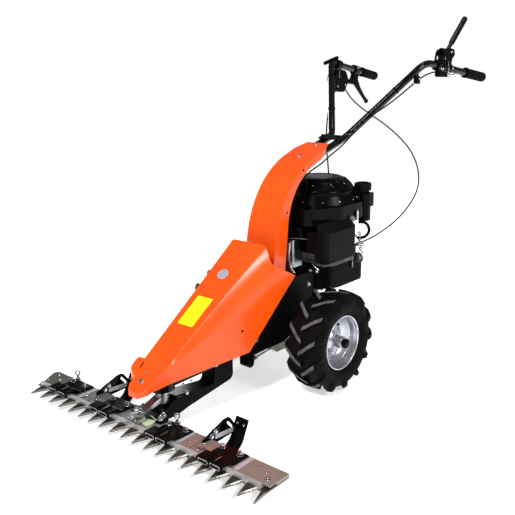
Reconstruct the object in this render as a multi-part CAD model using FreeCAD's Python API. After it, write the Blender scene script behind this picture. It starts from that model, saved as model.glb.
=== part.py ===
import FreeCAD, Part
import math
import os

# Walk-behind sickle bar mower, one STEP file per piece, in millimetres.
# +Z is up, +Y points back towards the handles, +X is the machine's left side.
# The origin is on the floor, midway between the wheels and straight below the axle.

V = FreeCAD.Vector
X_AXIS = V(1, 0, 0)
Y_AXIS = V(0, 1, 0)
Z_AXIS = V(0, 0, 1)

# wheels and axle
tyre_radius = 160.0
tyre_width = 126.0
tyre_wall = 9.0
tyre_shoulder = 30.0
bead_inset = 24.0
track = 426.0
rim_flange_radius = 86.0
rim_seat_radius = 77.0
rim_well_radius = 62.0
rim_sheet = 3.0
hub_radius = 24.0
hub_length = 46.0
hub_reach = 50.0
boss_radius = 19.0
axle_radius = 12.5
bearing_gap = 0.05
axle_cap_radius = 14.5
axle_cap_length = 18.0

# gearbox between the wheels
gearbox_half_width = 48.0
gearbox_bottom = 92.0
axle_tube_radius = 29.0
axle_tube_end = 128.0
tube_seat_gap = 0.3

# chassis under the engine
chassis_half_width = 82.0
chassis_sheet = 4.0
chassis_front = -246.0
chassis_side_back = 88.0
chassis_bottom = 140.0
chassis_lip = 158.0
chassis_shoulder = 340.0
deck_top = 272.0
deck_back = 352.0
deck_sheet = 6.0

# engine, with an upright shaft
engine_y = 227.0
crankcase_half_width = 118.0
crankcase_front = 92.0
crankcase_back = 348.0
crankcase_top = 346.0
sump_wall = 14.0
sump_depth = 60.0
adapter_top = 384.0
adapter_half_width = 92.0
cylinder_half_width = 62.0
cylinder_front = 44.0
cylinder_top = 486.0
shroud_bottom = 494.0
shroud_top = 572.0
shroud_radius = 142.0
dome_radius = 118.0
dome_top_radius = 76.0
dome_wall_top = 588.0
dome_top = 624.0
tank_front = 288.0
tank_back = 350.0
tank_half_width = 46.0
tank_x = 104.0
tank_bottom = 474.0
tank_band = 524.0
tank_top = 566.0
cap_inset = 22.0
cap_shift = 4.0
cap_radius = 28.5
cap_height = 24.0
filter_inner = 130.0
filter_outer = 172.0
filter_front = 34.0
filter_back = 198.0
filter_bottom = 384.0
filter_top = 506.0
filter_base_inner = 84.0
filter_base_front = 50.0
filter_base_top = 474.0
muffler_left = 68.0
muffler_width = 96.0
muffler_depth = 46.0
muffler_bottom = 365.0
muffler_top = 452.0
filler_radius = 16.0
filler_back = 76.0
filler_drop = 14.0
filler_reach = 44.0
filler_rise = 18.0
filler_cap_height = 14.0

# folded steel hood over the belt drive
hood_sheet = 2.0
hood_slope = 0.681
hood_rear = -136.0
hood_rear_top = 466.0
hood_rear_half = 65.0
hood_neck_y = -529.0
hood_neck_half = 47.0
hood_shoulder_y = -43.0
hood_shoulder_z = 358.0
hood_shoulder_half = 110.0
hood_skirt_bottom_rear = 157.0
hood_skirt_bottom_front = 146.0
hood_skirt_rear = -235.0
hood_notch_z = 408.0
head_half = 75.0
head_y = -549.0
head_neck_half = 29.0
head_neck_y = -581.0
nose_half = 34.0
nose_y = -615.0
nose_bottom = 122.0
nose_turn_y = -582.0
nose_turn_bottom = 138.0

# column that carries the handles
column_half = 60.0
column_sheet = 3.0
column_lean = 0.20
column_corner_y = -38.0
column_corner_z = 648.0
column_bend = 290.0
column_back_bend = 200.0
column_tip_y = 216.0
column_tip_half = 42.0
column_taper_y = 172.0
column_slope = 0.345
column_depth_foot = 72.0
column_depth_tip = 44.0

# boom from the chassis to the cutter bar
boom_half = 27.0
boom_sheet = 5.0
boom_bottom_back = 63.0
boom_front = -486.0
boom_bottom_front = 31.0
boom_front_top = 90.0
boom_corner_y = -328.0
boom_corner_z = 69.0
boom_root_y = -316.0

foot_half = 64.0
foot_front = -578.0
foot_sheet = 8.0

# crank that swings the drive arm
crank_y = -512.0
bearing_radius = 34.0
bearing_bottom = 113.0
bearing_top = 160.0
bearing_arm_top = 138.0
crank_head_radius = 19.0
crank_head_bottom = 76.0
crank_tail_radius = 11.5
crank_tail_bottom = 34.0
crank_neck_radius = 10.0
arm_hub_height = 22.0
arm_length = 90.0
arm_width = 27.0
arm_thickness = 9.0
arm_hub_radius = 21.0
arm_pin_bottom = 66.0
pin_radius = 6.0
pin_clearance = 0.5

# cutter bar, seen from the floor up
bar_left = 485.0
bar_right = -470.0
bar_back = -544.0
comb_bottom = 36.0
comb_thickness = 4.5
knife_gap = 0.4
knife_thickness = 3.5
tooth_pitch = 46.8
tooth_count = 19
tooth_first = -400.0
tooth_tip_y = -683.0
tooth_root_y = -632.0
tooth_width = 40.0
knife_back_y = -598.0
beam_front_y = -592.0
plate_front_y = -618.0
plate_thickness = 3.0
rail_width = 9.0
rail_height = 9.0
knife_head_back = -588.0
holder_centres = [-315.0, -119.0, 119.0, 315.0]
holder_width = 86.0
holder_thickness = 5.0
holder_lip = 9.0
holder_rise = 5.7

# skids beside the bar
skid_x = 222.0
skid_sheet = 5.0
skid_plate_top = 84.0
skid_plate_back = -444.0
skid_width = 44.0
skid_floor_front = -600.0
skid_floor_back = -502.0
skid_curve = 58.0
skid_top_z = 78.0

# handles
tube_radius = 12.0
tube_spread = 30.0
tube_bore = 9.5
stub_front_y = 96.0
stub_front_z = 677.0
saddle_front = 132.0
saddle_length = 72.0
knee_y = 338.0
knee_z = 747.0
knee_radius = 70.0
bridge_length = 34.0
bridge_back = 30.0
seat_gap = 0.3
running_gap = 0.05
bend_x = 196.0
bend_y = 560.0
bend_z = 988.0
bend_radius = 62.0
grip_x = 235.0
grip_y = 922.0
grip_z = 930.0
grip_radius = 17.0
grip_length = 118.0
clutch_y = 660.0
clutch_collar = 82.0
clutch_rise = 50.0
clutch_tip_y = 817.0
clutch_tip_z = 1140.0
housing_width = 36.0
brake_y = 752.0
brake_tip_y = 838.0
brake_tip_z = 833.0
speed_y = 612.0
paddle_length = 84.0
paddle_drop = 20.0
paddle_rise = 13.0
paddle_half_width = 7.0

# engagement lug and rod below the chassis
lug_x = 55.0
lug_y = -212.0
lug_width = 34.0
lug_bottom = 96.0

# cables, by the points that their straight runs meet at
cable_radius = 2.5
throttle_route = [
    V(-172, 606, 906),
    V(-158, 620, 868),
    V(-122, 640, 828),
    V(-76, 664, 792),
    V(-31, 692, 757),
    V(22, 714, 709),
    V(63, 726, 662),
    V(97, 722, 604),
    V(122, 690, 552),
    V(139, 636, 516),
    V(150, 575, 489),
    V(160, 505, 465),
    V(162, 436, 444),
    V(160, 368, 427),
    V(154, 300, 413),
    V(144, 252, 407),
]

stop_route = [
    V(-160, 539, 893),
    V(-146, 512, 874),
    V(-126, 468, 855),
    V(-106, 424, 826),
    V(-84, 384, 794),
    V(-62, 350, 756),
    V(-42, 324, 712),
    V(-26, 309, 668),
    V(-17, 304, 622),
]
clutch_route = [
    V(199, 623.7, 955),
    V(196, 580, 951),
    V(190, 537, 935),
    V(178, 500, 912),
    V(160, 456, 880),
    V(138, 414, 850),
    V(112, 372, 822),
    V(84, 334, 788),
    V(52, 300, 730),
    V(18, 262, 690),
    V(8, 222, 664),
    V(0, 176, 646),
    V(-4, 130, 622),
    V(-6, 86, 600),
    V(-4, 45, 568),
    V(-2, 14, 520),
    V(0, -12, 468),
    V(2, -28, 412),
    V(2, -36, 354),
    V(0, -40, 306),
    V(-2, -41, 273),
]

# heights of the stacked bar, worked out from the values above
comb_top = comb_bottom + comb_thickness
knife_bottom = comb_top + knife_gap
knife_top = knife_bottom + knife_thickness
plate_bottom = knife_top + knife_gap
plate_top = plate_bottom + plate_thickness
rail_top = knife_top + rail_height
knife_head_base = plate_top + 2.5


def box(x0, x1, y0, y1, z0, z1):
    return Part.makeBox(x1 - x0, y1 - y0, z1 - z0, V(x0, y0, z0))


def rod(start, end, radius):
    line = end - start
    return Part.makeCylinder(radius, line.Length, start, line)


def ring(start, end, radius, bore):
    return rod(start, end, radius).cut(rod(start, end, bore))


def rounded_path(points, radii, closed=False):
    """A wire through the points, each corner turned by its own arc; a radius of 0 keeps it sharp."""
    count = len(points)
    starts, ends, arcs = [], [], []
    for i, point in enumerate(points):
        radius = radii[i]
        inner = closed or 0 < i < count - 1
        if radius <= 0 or not inner:
            starts.append(point)
            ends.append(point)
            arcs.append(None)
            continue
        before = (points[i - 1] - point).normalize()
        after = (points[(i + 1) % count] - point).normalize()
        half = before.getAngle(after) / 2
        reach = radius / math.tan(half)
        middle = point + (before + after).normalize() * (radius / math.sin(half) - radius)
        starts.append(point + before * reach)
        ends.append(point + after * reach)
        arcs.append(Part.Arc(starts[-1], middle, ends[-1]))
    edges = []
    for i in range(count):
        if arcs[i]:
            edges.append(arcs[i].toShape())
        follower = (i + 1) % count
        if follower == 0 and not closed:
            continue
        if (starts[follower] - ends[i]).Length > 1e-6:
            edges.append(Part.LineSegment(ends[i], starts[follower]).toShape())
    return Part.Wire(edges)


def side_profile(points, radii, x0, x1):
    """A plate whose outline is drawn in Y and Z and which runs from x0 to x1."""
    outline = rounded_path([V(x0, y, z) for y, z in points], radii, closed=True)
    return Part.Face(outline).extrude(V(x1 - x0, 0, 0))


def plan_profile(points, radii, z0, z1):
    """A plate whose outline is drawn in X and Y and which runs from z0 to z1."""
    outline = rounded_path([V(x, y, z0) for x, y in points], radii, closed=True)
    return Part.Face(outline).extrude(V(0, 0, z1 - z0))


def bent_tube(points, bends, radius, bore=0.0):
    """A round tube along straight runs joined by tangent arcs."""
    spine = rounded_path(points, bends)
    direction = points[1] - points[0]

    def sweep(size):
        section = Part.Wire(Part.makeCircle(size, points[0], direction))
        return spine.makePipeShell([section], True, False)

    tube = sweep(radius)
    return tube.cut(sweep(bore)) if bore else tube


def revolve_about_x(points, radii, centre_x, centre_z, side):
    """A closed profile of (distance out along the axle, radius) turned about the axle."""
    corners = [V(centre_x + side * u, 0, centre_z + r) for u, r in points]
    profile = rounded_path(corners, radii, closed=True)
    return Part.Face(profile).revolve(V(centre_x, 0, centre_z), X_AXIS, 360)


def fuse(shapes):
    return shapes[0].multiFuse(shapes[1:]).removeSplitter()


def save(name, shape):
    shape.exportStep("parts/" + name + ".step")
    kind = "ok" if shape.isValid() else "NOT VALID"
    print(name, kind, len(shape.Solids), round(shape.Volume / 1000.0, 1), "cm3")


# ---------------------------------------------------------------- wheels

def tyre(side):
    half = tyre_width / 2
    bead = half - bead_inset
    outer = [
        (-bead, rim_seat_radius),
        (-bead, rim_flange_radius + 1),
        (-half, rim_seat_radius + 34),
        (-half, tyre_radius - tyre_shoulder),
        (-half + tyre_shoulder, tyre_radius),
        (half - tyre_shoulder, tyre_radius),
        (half, tyre_radius - tyre_shoulder),
        (half, rim_seat_radius + 34),
        (bead, rim_flange_radius + 1),
        (bead, rim_seat_radius),
    ]
    inner = [
        (bead - tyre_wall, rim_seat_radius),
        (bead - tyre_wall, rim_flange_radius + 4),
        (half - tyre_wall, rim_seat_radius + 38),
        (half - tyre_wall, tyre_radius - tyre_shoulder - tyre_wall / 2),
        (half - tyre_shoulder - tyre_wall / 2, tyre_radius - 2 * tyre_wall),
        (-half + tyre_shoulder + tyre_wall / 2, tyre_radius - 2 * tyre_wall),
        (-half + tyre_wall, tyre_radius - tyre_shoulder - tyre_wall / 2),
        (-half + tyre_wall, rim_seat_radius + 38),
        (-bead + tyre_wall, rim_flange_radius + 4),
        (-bead + tyre_wall, rim_seat_radius),
    ]
    radii = [0, 3, 10, 14, 10, 10, 14, 10, 3, 0] + [0, 6, 8, 8, 6, 6, 8, 8, 6, 0]
    return revolve_about_x(outer + inner, radii, side * track / 2, tyre_radius, side)


def rim(side):
    half = tyre_width / 2
    seat = half - bead_inset
    well = 22.0
    skin = [
        (seat + 6, rim_flange_radius),
        (seat, rim_flange_radius - 2),
        (seat, rim_seat_radius),
        (well, rim_seat_radius - 2),
        (well - 8, rim_well_radius),
        (-well + 8, rim_well_radius),
        (-well, rim_seat_radius - 2),
        (-seat, rim_seat_radius),
        (-seat, rim_flange_radius - 2),
        (-seat - 6, rim_flange_radius),
    ]
    inside = [(u, r - rim_sheet) for u, r in reversed(skin)]
    inside[0] = (-seat - 6, rim_flange_radius - rim_sheet)
    shell = revolve_about_x(skin + inside, [0] * (2 * len(skin)), side * track / 2, tyre_radius, side)
    disc_u = 6.0
    disc = revolve_about_x(
        [
            (disc_u, rim_well_radius - 1),
            (disc_u - 8, 46),
            (disc_u + 4, 34),
            (disc_u + 4, hub_radius - 2),
            (disc_u + 4 - rim_sheet, hub_radius - 2),
            (disc_u + 4 - rim_sheet, 33),
            (disc_u - 8 - rim_sheet, 46),
            (disc_u - rim_sheet, rim_well_radius - 1),
        ],
        [0, 5, 5, 0, 0, 5, 5, 0],
        side * track / 2,
        tyre_radius,
        side,
    )
    return fuse([shell, disc])


def axle(side):
    """Half shaft with its hub and end cap, turning with the wheel."""
    centre = V(side * track / 2, 0, tyre_radius)
    out = X_AXIS * side
    hub = rod(centre - out * (hub_length / 2 - 12), centre + out * (hub_length / 2 + 4), hub_radius - 2)
    inner_end = V(side * (gearbox_half_width + 4), 0, tyre_radius)
    boss_end = centre + out * hub_reach
    boss = rod(centre, boss_end, boss_radius)
    shaft = rod(inner_end, boss_end + out * 4, axle_radius)
    cap = rod(boss_end, boss_end + out * axle_cap_length, axle_cap_radius)
    collar = rod(centre - out * (hub_length / 2), centre - out * (hub_length / 2 - 12), hub_radius - 4)
    return fuse([hub, boss, shaft, cap, collar])


def on_axle(x):
    return V(x, 0, tyre_radius)


def gearbox():
    """Block with an axle tube and a flange on each side."""
    case = side_profile(
        [
            (-94, 122),
            (-60, gearbox_bottom),
            (44, gearbox_bottom),
            (66, 130),
            (66, 214),
            (30, 240),
            (-62, 240),
            (-94, 206),
        ],
        [14] * 8,
        -gearbox_half_width,
        gearbox_half_width,
    )
    tubes = [
        rod(on_axle(side * (gearbox_half_width - 10)), on_axle(side * axle_tube_end), axle_tube_radius)
        for side in (-1, 1)
    ]
    flanges = [
        rod(on_axle(side * gearbox_half_width), on_axle(side * (gearbox_half_width + 12)), axle_tube_radius + 14)
        for side in (-1, 1)
    ]
    top = box(-40, 40, -56, 26, 232, deck_top - deck_sheet)
    body = fuse([case, top] + tubes + flanges)
    for side in (-1, 1):
        bore_start = on_axle(side * (gearbox_half_width + 2))
        body = body.cut(rod(bore_start, on_axle(side * (axle_tube_end + 1)), axle_radius + bearing_gap))
    return body


# ---------------------------------------------------------------- chassis and boom

def chassis():
    """Folded box between the wheels: engine deck, two upright sides and a front wall."""
    deck = plan_profile(
        [
            (-chassis_half_width, chassis_front),
            (chassis_half_width, chassis_front),
            (chassis_half_width, engine_y - 110),
            (crankcase_half_width, engine_y - 50),
            (crankcase_half_width, deck_back),
            (-crankcase_half_width, deck_back),
            (-crankcase_half_width, engine_y - 50),
            (-chassis_half_width, engine_y - 110),
        ],
        [0, 0, 30, 30, 50, 50, 30, 30],
        deck_top - deck_sheet,
        deck_top,
    )
    side_outline = [
        (chassis_front, chassis_lip),
        (chassis_front + 32, chassis_bottom),
        (-60, chassis_bottom),
        (chassis_side_back, deck_top - 66),
        (chassis_side_back, chassis_shoulder),
        (hood_shoulder_y - 6, chassis_shoulder),
        (chassis_front, deck_top - deck_sheet / 2),
    ]
    sheets = []
    for side in (-1, 1):
        outer = side * chassis_half_width
        inner = outer - side * chassis_sheet
        radii = [0, 20, 40, 20, 10, 8, 0]
        sheet = side_profile(side_outline, radii, min(outer, inner), max(outer, inner))
        hole = rod(on_axle(outer + side), on_axle(inner - side), axle_tube_radius + tube_seat_gap)
        sheets.append(sheet.cut(hole))
    front = box(
        -chassis_half_width,
        chassis_half_width,
        chassis_front,
        chassis_front + chassis_sheet,
        chassis_lip,
        deck_top - deck_sheet / 2,
    )
    return fuse([deck, front] + sheets)


def boom():
    """Channel-section boom, open below, from the chassis front wall down to the cutter bar."""
    top_back = deck_top - 40
    outer_points = [
        (boom_front, boom_bottom_front),
        (chassis_front, boom_bottom_back),
        (chassis_front, top_back),
        (boom_root_y + 14, top_back),
        (boom_root_y, top_back - 40),
        (boom_corner_y, boom_corner_z),
        (boom_front, boom_front_top),
    ]
    inner_points = [
        (boom_front + boom_sheet, boom_bottom_front - 8),
        (chassis_front - boom_sheet, boom_bottom_back - 12),
        (chassis_front - boom_sheet, top_back - boom_sheet),
        (boom_root_y + 14 + boom_sheet, top_back - boom_sheet),
        (boom_root_y + boom_sheet, top_back - 40),
        (boom_corner_y + boom_sheet, boom_corner_z - boom_sheet),
        (boom_front + boom_sheet, boom_front_top - boom_sheet),
    ]
    radii = [0, 20, 0, 10, 10, 16, 0]
    outer = side_profile(outer_points, radii, -boom_half, boom_half)
    pocket = side_profile(inner_points, [0] * 7, -boom_half + boom_sheet, boom_half - boom_sheet)
    return outer.cut(pocket)


def boom_foot():
    """Two cheeks welded to the boom that straddle the crank and carry a base plate bolted on the bar."""
    base = plan_profile(
        [
            (-foot_half, foot_front),
            (foot_half, foot_front),
            (foot_half, bar_back - 4),
            (boom_half + foot_sheet, bar_back + 15),
            (-boom_half - foot_sheet, bar_back + 15),
            (-foot_half, bar_back - 4),
        ],
        [8, 8, 6, 0, 0, 6],
        plate_top,
        plate_top + foot_sheet,
    )
    outline = [
        (foot_front + 4, plate_top),
        (bar_back + 2, plate_top),
        (bar_back + 10, 34),
        (boom_front, 34),
        (boom_front + 56, 46),
        (boom_front + 56, boom_front_top - 12),
        (boom_front, boom_front_top - 2),
        (crank_y - 14, 66),
        (foot_front + 4, plate_top + foot_sheet),
    ]
    cheeks = [
        side_profile(outline, [0, 0, 6, 30, 0, 0, 10, 24, 0], x, x + foot_sheet)
        for x in (boom_half, -boom_half - foot_sheet)
    ]
    return fuse([base] + cheeks)


# ---------------------------------------------------------------- crank and drive arm

def on_crank(z):
    return V(0, crank_y, z)


def crank_housing():
    """Upright bearing housing, carried on the boom's front end."""
    bottom, top = on_crank(bearing_bottom), on_crank(bearing_top)
    body = ring(bottom, top, bearing_radius, crank_neck_radius + running_gap)
    arm_half = boom_half - 4
    arm_back = boom_corner_y + 10
    arm = box(-arm_half, arm_half, crank_y + 24, arm_back, bearing_bottom + 6, bearing_arm_top)
    arm = arm.cut(rod(bottom, top, bearing_radius - 2))
    return fuse([body, arm]).cut(boom())


def crank_shaft():
    neck = rod(on_crank(bearing_bottom - 1), on_crank(bearing_top - 4), crank_neck_radius)
    head = rod(on_crank(crank_head_bottom), on_crank(bearing_bottom - 0.4), crank_head_radius)
    return fuse([neck, head])


def drive_arm():
    """Arm clamped on the crank head, dropping forward to the pin that pushes the knife."""
    pin_y = crank_y - arm_length
    hub_top = crank_head_bottom + arm_hub_height
    hub = ring(on_crank(crank_head_bottom), on_crank(hub_top), arm_hub_radius, crank_head_radius)
    bar = side_profile(
        [
            (crank_y - crank_head_radius + 2, crank_head_bottom + 4),
            (crank_y - crank_head_radius + 2, crank_head_bottom + 20),
            (pin_y + 14, arm_pin_bottom + arm_thickness),
            (pin_y - 12, arm_pin_bottom + arm_thickness),
            (pin_y - 12, arm_pin_bottom),
            (pin_y + 14, arm_pin_bottom),
        ],
        [0, 0, 12, 0, 0, 12],
        -arm_width / 2,
        arm_width / 2,
    )
    bar = bar.cut(rod(on_crank(0), on_crank(bearing_top), crank_head_radius))
    pin_top = arm_pin_bottom + arm_thickness + 5
    pin = rod(V(0, pin_y, knife_head_base + 3), V(0, pin_y, pin_top), pin_radius)
    tail = rod(on_crank(crank_tail_bottom), on_crank(crank_head_bottom), crank_tail_radius)
    return fuse([hub, bar, pin]), tail


# ---------------------------------------------------------------- cutter bar

def tooth(x, tip_shift, half_width, root_y, z0, z1):
    """A pointed tooth with a blunt tip, standing forward from the comb."""
    points = [
        (x - half_width, root_y),
        (x + tip_shift - 1.5, tooth_tip_y),
        (x + tip_shift + 1.5, tooth_tip_y),
        (x + half_width, root_y),
    ]
    return plan_profile(points, [0] * 4, z0, z1)


def comb_strip():
    """Fixed lower strip of the bar that the fingers stand out from."""
    return box(bar_right + 30, bar_left, tooth_root_y, bar_back, comb_bottom, comb_top)


def tooth_row(z0, z1):
    return [
        tooth(tooth_first + i * tooth_pitch, 0, tooth_width / 2, tooth_root_y, z0, z1)
        for i in range(tooth_count)
    ]


def comb_fingers():
    """The fixed fingers, with the longer outer one at the left end."""
    last_x = tooth_first + tooth_count * tooth_pitch
    outer = plan_profile(
        [
            (last_x - 20, tooth_root_y),
            (last_x - 3, tooth_tip_y + 4),
            (last_x + 3, tooth_tip_y + 4),
            (bar_left, tooth_root_y),
        ],
        [0, 3, 3, 0],
        comb_bottom,
        comb_top,
    )
    return Part.makeCompound([outer] + tooth_row(comb_bottom, comb_top))


def knife_ends():
    x0 = tooth_first - tooth_width / 2 - 4
    x1 = tooth_first + (tooth_count - 1) * tooth_pitch + tooth_width / 2 + 4
    return x0, x1


def knife_rail():
    """Back of the moving knife with the square rail that its sections are riveted along."""
    x0, x1 = knife_ends()
    strip = box(x0, x1, tooth_root_y, knife_back_y, knife_bottom, knife_top)
    rail = box(x0, x1, tooth_root_y, tooth_root_y + rail_width, knife_top, rail_top)
    return fuse([strip, rail])


def knife_sections():
    """The moving teeth, one above each fixed finger at mid-stroke."""
    return Part.makeCompound(tooth_row(knife_bottom, knife_top))


def knife_head():
    """Forked block on the knife rail that takes the drive arm's pin."""
    outline = [
        (tooth_root_y, rail_top),
        (tooth_root_y + rail_width + 1, rail_top),
        (tooth_root_y + rail_width + 1, knife_head_base),
        (knife_head_back, knife_head_base),
        (knife_head_back, knife_head_base + 12),
        (tooth_root_y, knife_head_base + 12),
    ]
    block = side_profile(outline, [0, 0, 0, 3, 4, 4], -17, 17)
    slot_half = pin_radius + pin_clearance
    pin_y = crank_y - arm_length
    slot_front = pin_y - pin_radius - 4
    slot_back = knife_head_back + 1
    slot = box(-slot_half, slot_half, slot_front, slot_back, knife_head_base - 1, knife_head_base + 14)
    return block.cut(slot)


def bar_beam():
    """Thick back bar that the comb hangs from and the holders bolt to."""
    points = [
        (bar_right + 34, beam_front_y),
        (bar_left, beam_front_y),
        (bar_left, bar_back),
        (bar_right, bar_back),
    ]
    return plan_profile(points, [0, 0, 0, 12], comb_top, plate_bottom)


def bar_plates():
    """Plated cover strips over the knife's back, with open joints between them."""
    joints = [bar_right, -212.0, 0.0, 212.0, bar_left]
    strips = []
    for i in range(len(joints) - 1):
        x0 = joints[i] + (1.5 if i else 0)
        x1 = joints[i + 1] - (1.5 if i < 3 else 0)
        front_x0 = x0 + (40 if i == 0 else 0)
        points = [(front_x0, plate_front_y), (x1, plate_front_y), (x1, bar_back), (x0, bar_back)]
        strips.append(plan_profile(points, [0, 0, 0, 14 if i == 0 else 0], plate_bottom, plate_top))
    return strips[0].multiFuse(strips[1:])


def holder(x):
    """Pressed knife holder: a foot on the plate, a step over the rail and a front lip."""
    step = rail_top + holder_rise - plate_top
    outline = [
        (bar_back - 4, plate_top),
        (bar_back - 4, plate_top + holder_thickness),
        (plate_front_y + 22, plate_top + holder_thickness),
        (plate_front_y + 8, plate_top + step + holder_thickness),
        (tooth_root_y - 16, plate_top + step + holder_thickness),
        (tooth_root_y - 16, plate_top + step - holder_lip),
        (tooth_root_y - 16 + holder_thickness, plate_top + step - holder_lip),
        (tooth_root_y - 16 + holder_thickness, plate_top + step),
        (plate_front_y + 8 - 3, plate_top + step),
        (plate_front_y + 22 - 3, plate_top),
    ]
    radii = [0, 0, 5, 5, 5, 0, 0, 3, 3, 3]
    body = side_profile(outline, radii, x - holder_width / 2, x + holder_width / 2)
    hump_top = plate_top + step + holder_thickness
    rib_front = tooth_root_y - 14
    rib_back = plate_front_y + 6
    ribs = [
        box(x + dx - 5, x + dx + 5, rib_front, rib_back, hump_top - 0.5, hump_top + 3)
        for dx in (-12, 14)
    ]
    return fuse([body] + ribs)


def holders():
    shapes = [holder(x) for x in holder_centres]
    return shapes[0].multiFuse(shapes[1:])


# ---------------------------------------------------------------- skids

def skid_plate(side):
    """Upright slotted plate standing on the bar's back edge."""
    outline = [
        (bar_back - 30, plate_top),
        (bar_back + 1, plate_top),
        (bar_back + 4, 30),
        (skid_plate_back, 34),
        (skid_plate_back, 46),
        (skid_plate_back - 30, skid_plate_top),
        (skid_plate_back - 48, skid_plate_top),
        (bar_back - 30, plate_top + 8),
    ]
    x0 = side * skid_x - skid_sheet / 2
    plate = side_profile(outline, [0, 0, 4, 5, 8, 8, 8, 3], x0, x0 + skid_sheet)
    slot = side_profile(
        [
            (skid_plate_back - 42, skid_plate_top - 12),
            (skid_plate_back - 36, skid_plate_top - 8),
            (skid_plate_back - 14, skid_plate_top - 34),
            (skid_plate_back - 20, skid_plate_top - 38),
        ],
        [3, 3, 3, 3],
        x0 - 1,
        x0 + skid_sheet + 1,
    )
    return plate.cut(slot)


def skid_shoe(side):
    """Curved runner from the bar's underside down to the floor and up behind it."""
    x0 = side * skid_x + skid_sheet / 2
    path = [
        V(x0, tooth_root_y - 2, comb_bottom - 1.5),
        V(x0, tooth_root_y + 12, comb_bottom - 1.5),
        V(x0, skid_floor_front, 1.5),
        V(x0, skid_floor_back + 20, 1.5),
        V(x0, skid_plate_back - 2, skid_top_z),
    ]
    strip = rounded_path(path, [0, 10, 40, skid_curve, 0])
    face = strip.makeOffset2D(1.5, 0, True, True)
    other = strip.makeOffset2D(-1.5, 0, True, True)
    return face.extrude(V(skid_width, 0, 0)).fuse(other.extrude(V(skid_width, 0, 0))).removeSplitter()


def skid_arm(side):
    """Flat plated bar under the bar that steadies the skid plate."""
    edge = side * skid_x - skid_sheet / 2
    return box(edge - 16, edge, bar_back - 40, skid_plate_back - 6, comb_bottom - 4, comb_bottom)


# ---------------------------------------------------------------- hood and column

def hood_plane_z(y):
    return hood_rear_top + hood_slope * (y - hood_rear)


def hood_section(y, inset):
    """Half-open cross-section of the hood at one station, pulled in by the sheet."""
    along = (y - hood_neck_y) / (hood_shoulder_y - hood_neck_y)
    ridge_along = (y - hood_neck_y) / (hood_rear - hood_neck_y)
    ridge = hood_neck_half + (hood_rear_half - hood_neck_half) * ridge_along
    top = hood_plane_z(y) - inset * math.sqrt(1 + hood_slope ** 2)
    neck_top = hood_plane_z(hood_neck_y) - 2.0
    fold_half = hood_neck_half + 3 + (hood_shoulder_half - hood_neck_half - 3) * along - inset
    fold_z = neck_top + (hood_shoulder_z - neck_top) * along - inset * 0.4
    low = hood_skirt_bottom_front - 40
    ridge_in = ridge - inset * 0.6
    points = [
        V(-fold_half, y, low),
        V(-fold_half, y, fold_z),
        V(-ridge_in, y, top),
        V(ridge_in, y, top),
        V(fold_half, y, fold_z),
        V(fold_half, y, low),
    ]
    return Part.makePolygon(points + [points[0]])


def hood_body(inset, reach):
    stations = [hood_neck_y - reach, hood_shoulder_y + 40 + reach]
    return Part.makeLoft([hood_section(y, inset) for y in stations], True, True)


def hood_head_outline():
    """Plan of the head: it bulges on the right over the crank's swing and tapers on the left."""
    root_y = hood_neck_y + 30
    root = hood_neck_half + 1
    points = [
        (-root, root_y),
        (-root, hood_neck_y + 14),
        (-head_half, head_y + 14),
        (-head_half + 4, head_y - 14),
        (-head_neck_half, head_neck_y),
        (-nose_half, nose_y + 18),
        (-nose_half + 12, nose_y),
        (nose_half - 16, nose_y),
        (nose_half + 4, nose_y + 22),
        (root + 2, hood_neck_y),
        (root, root_y),
    ]
    radii = [0, 10, 18, 14, 10, 8, 10, 14, 24, 12, 0]
    return rounded_path([V(x, y, 60) for x, y in points], radii, closed=True)


def hood_head(inset, depth):
    """The head between the hood's sloping top plane and its own lower edge, lowered by the depth."""
    outline = hood_head_outline()
    if inset:
        outline = outline.makeOffset2D(-inset)
    prism = Part.Face(outline).extrude(V(0, 0, 260))
    lift = inset * math.sqrt(1 + hood_slope ** 2)
    y0, y1 = nose_y - 5, hood_neck_y + 60
    lower_edge = [
        (y1, hood_skirt_bottom_front - depth),
        (hood_neck_y, hood_skirt_bottom_front - depth),
        (nose_turn_y, nose_turn_bottom - depth),
        (y0, nose_bottom - depth),
    ]
    top_edge = [(y0, hood_plane_z(y0) - lift), (y1, hood_plane_z(y1) - lift)]
    slab = side_profile(lower_edge + top_edge, [0, 20, 20, 0, 0, 0], -120, 120)
    return prism.common(slab)


def hood():
    """Folded sheet hood: flat sloping top, slanted flanks, upright skirts and a rounded head."""
    skin = hood_body(0, 0).cut(hood_body(hood_sheet, 10))
    trim = side_profile(
        [
            (hood_neck_y, hood_skirt_bottom_front),
            (hood_skirt_rear, hood_skirt_bottom_rear),
            (hood_shoulder_y, hood_shoulder_z),
            (hood_rear, hood_notch_z),
            (hood_rear, hood_rear_top + 4),
            (hood_neck_y, hood_rear_top + 4),
        ],
        [0, 8, 0, 30, 0, 0],
        -200,
        200,
    )
    skin = skin.common(trim)
    head = hood_head(0, 0).cut(hood_head(hood_sheet, 30))
    head = head.cut(hood_body(0, 20).common(box(-200, 200, hood_neck_y, 0, 0, 500)))
    return fuse([skin, head])


def column_rails():
    """Corner points of the column's front and back edges, from the foot up."""
    foot_z = deck_top - 10
    foot_y = column_corner_y - column_lean * (column_corner_z - foot_z)
    tip_z = column_corner_z + column_slope * (column_tip_y - column_corner_y)
    front = [(foot_y, foot_z), (column_corner_y, column_corner_z), (column_tip_y, tip_z)]
    back = [
        (foot_y + column_depth_foot, foot_z),
        (column_corner_y + 38, column_corner_z - 10),
        (column_tip_y - 62, tip_z - column_depth_tip),
        (column_tip_y - 24, tip_z - 13),
    ]
    return front, back


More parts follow.
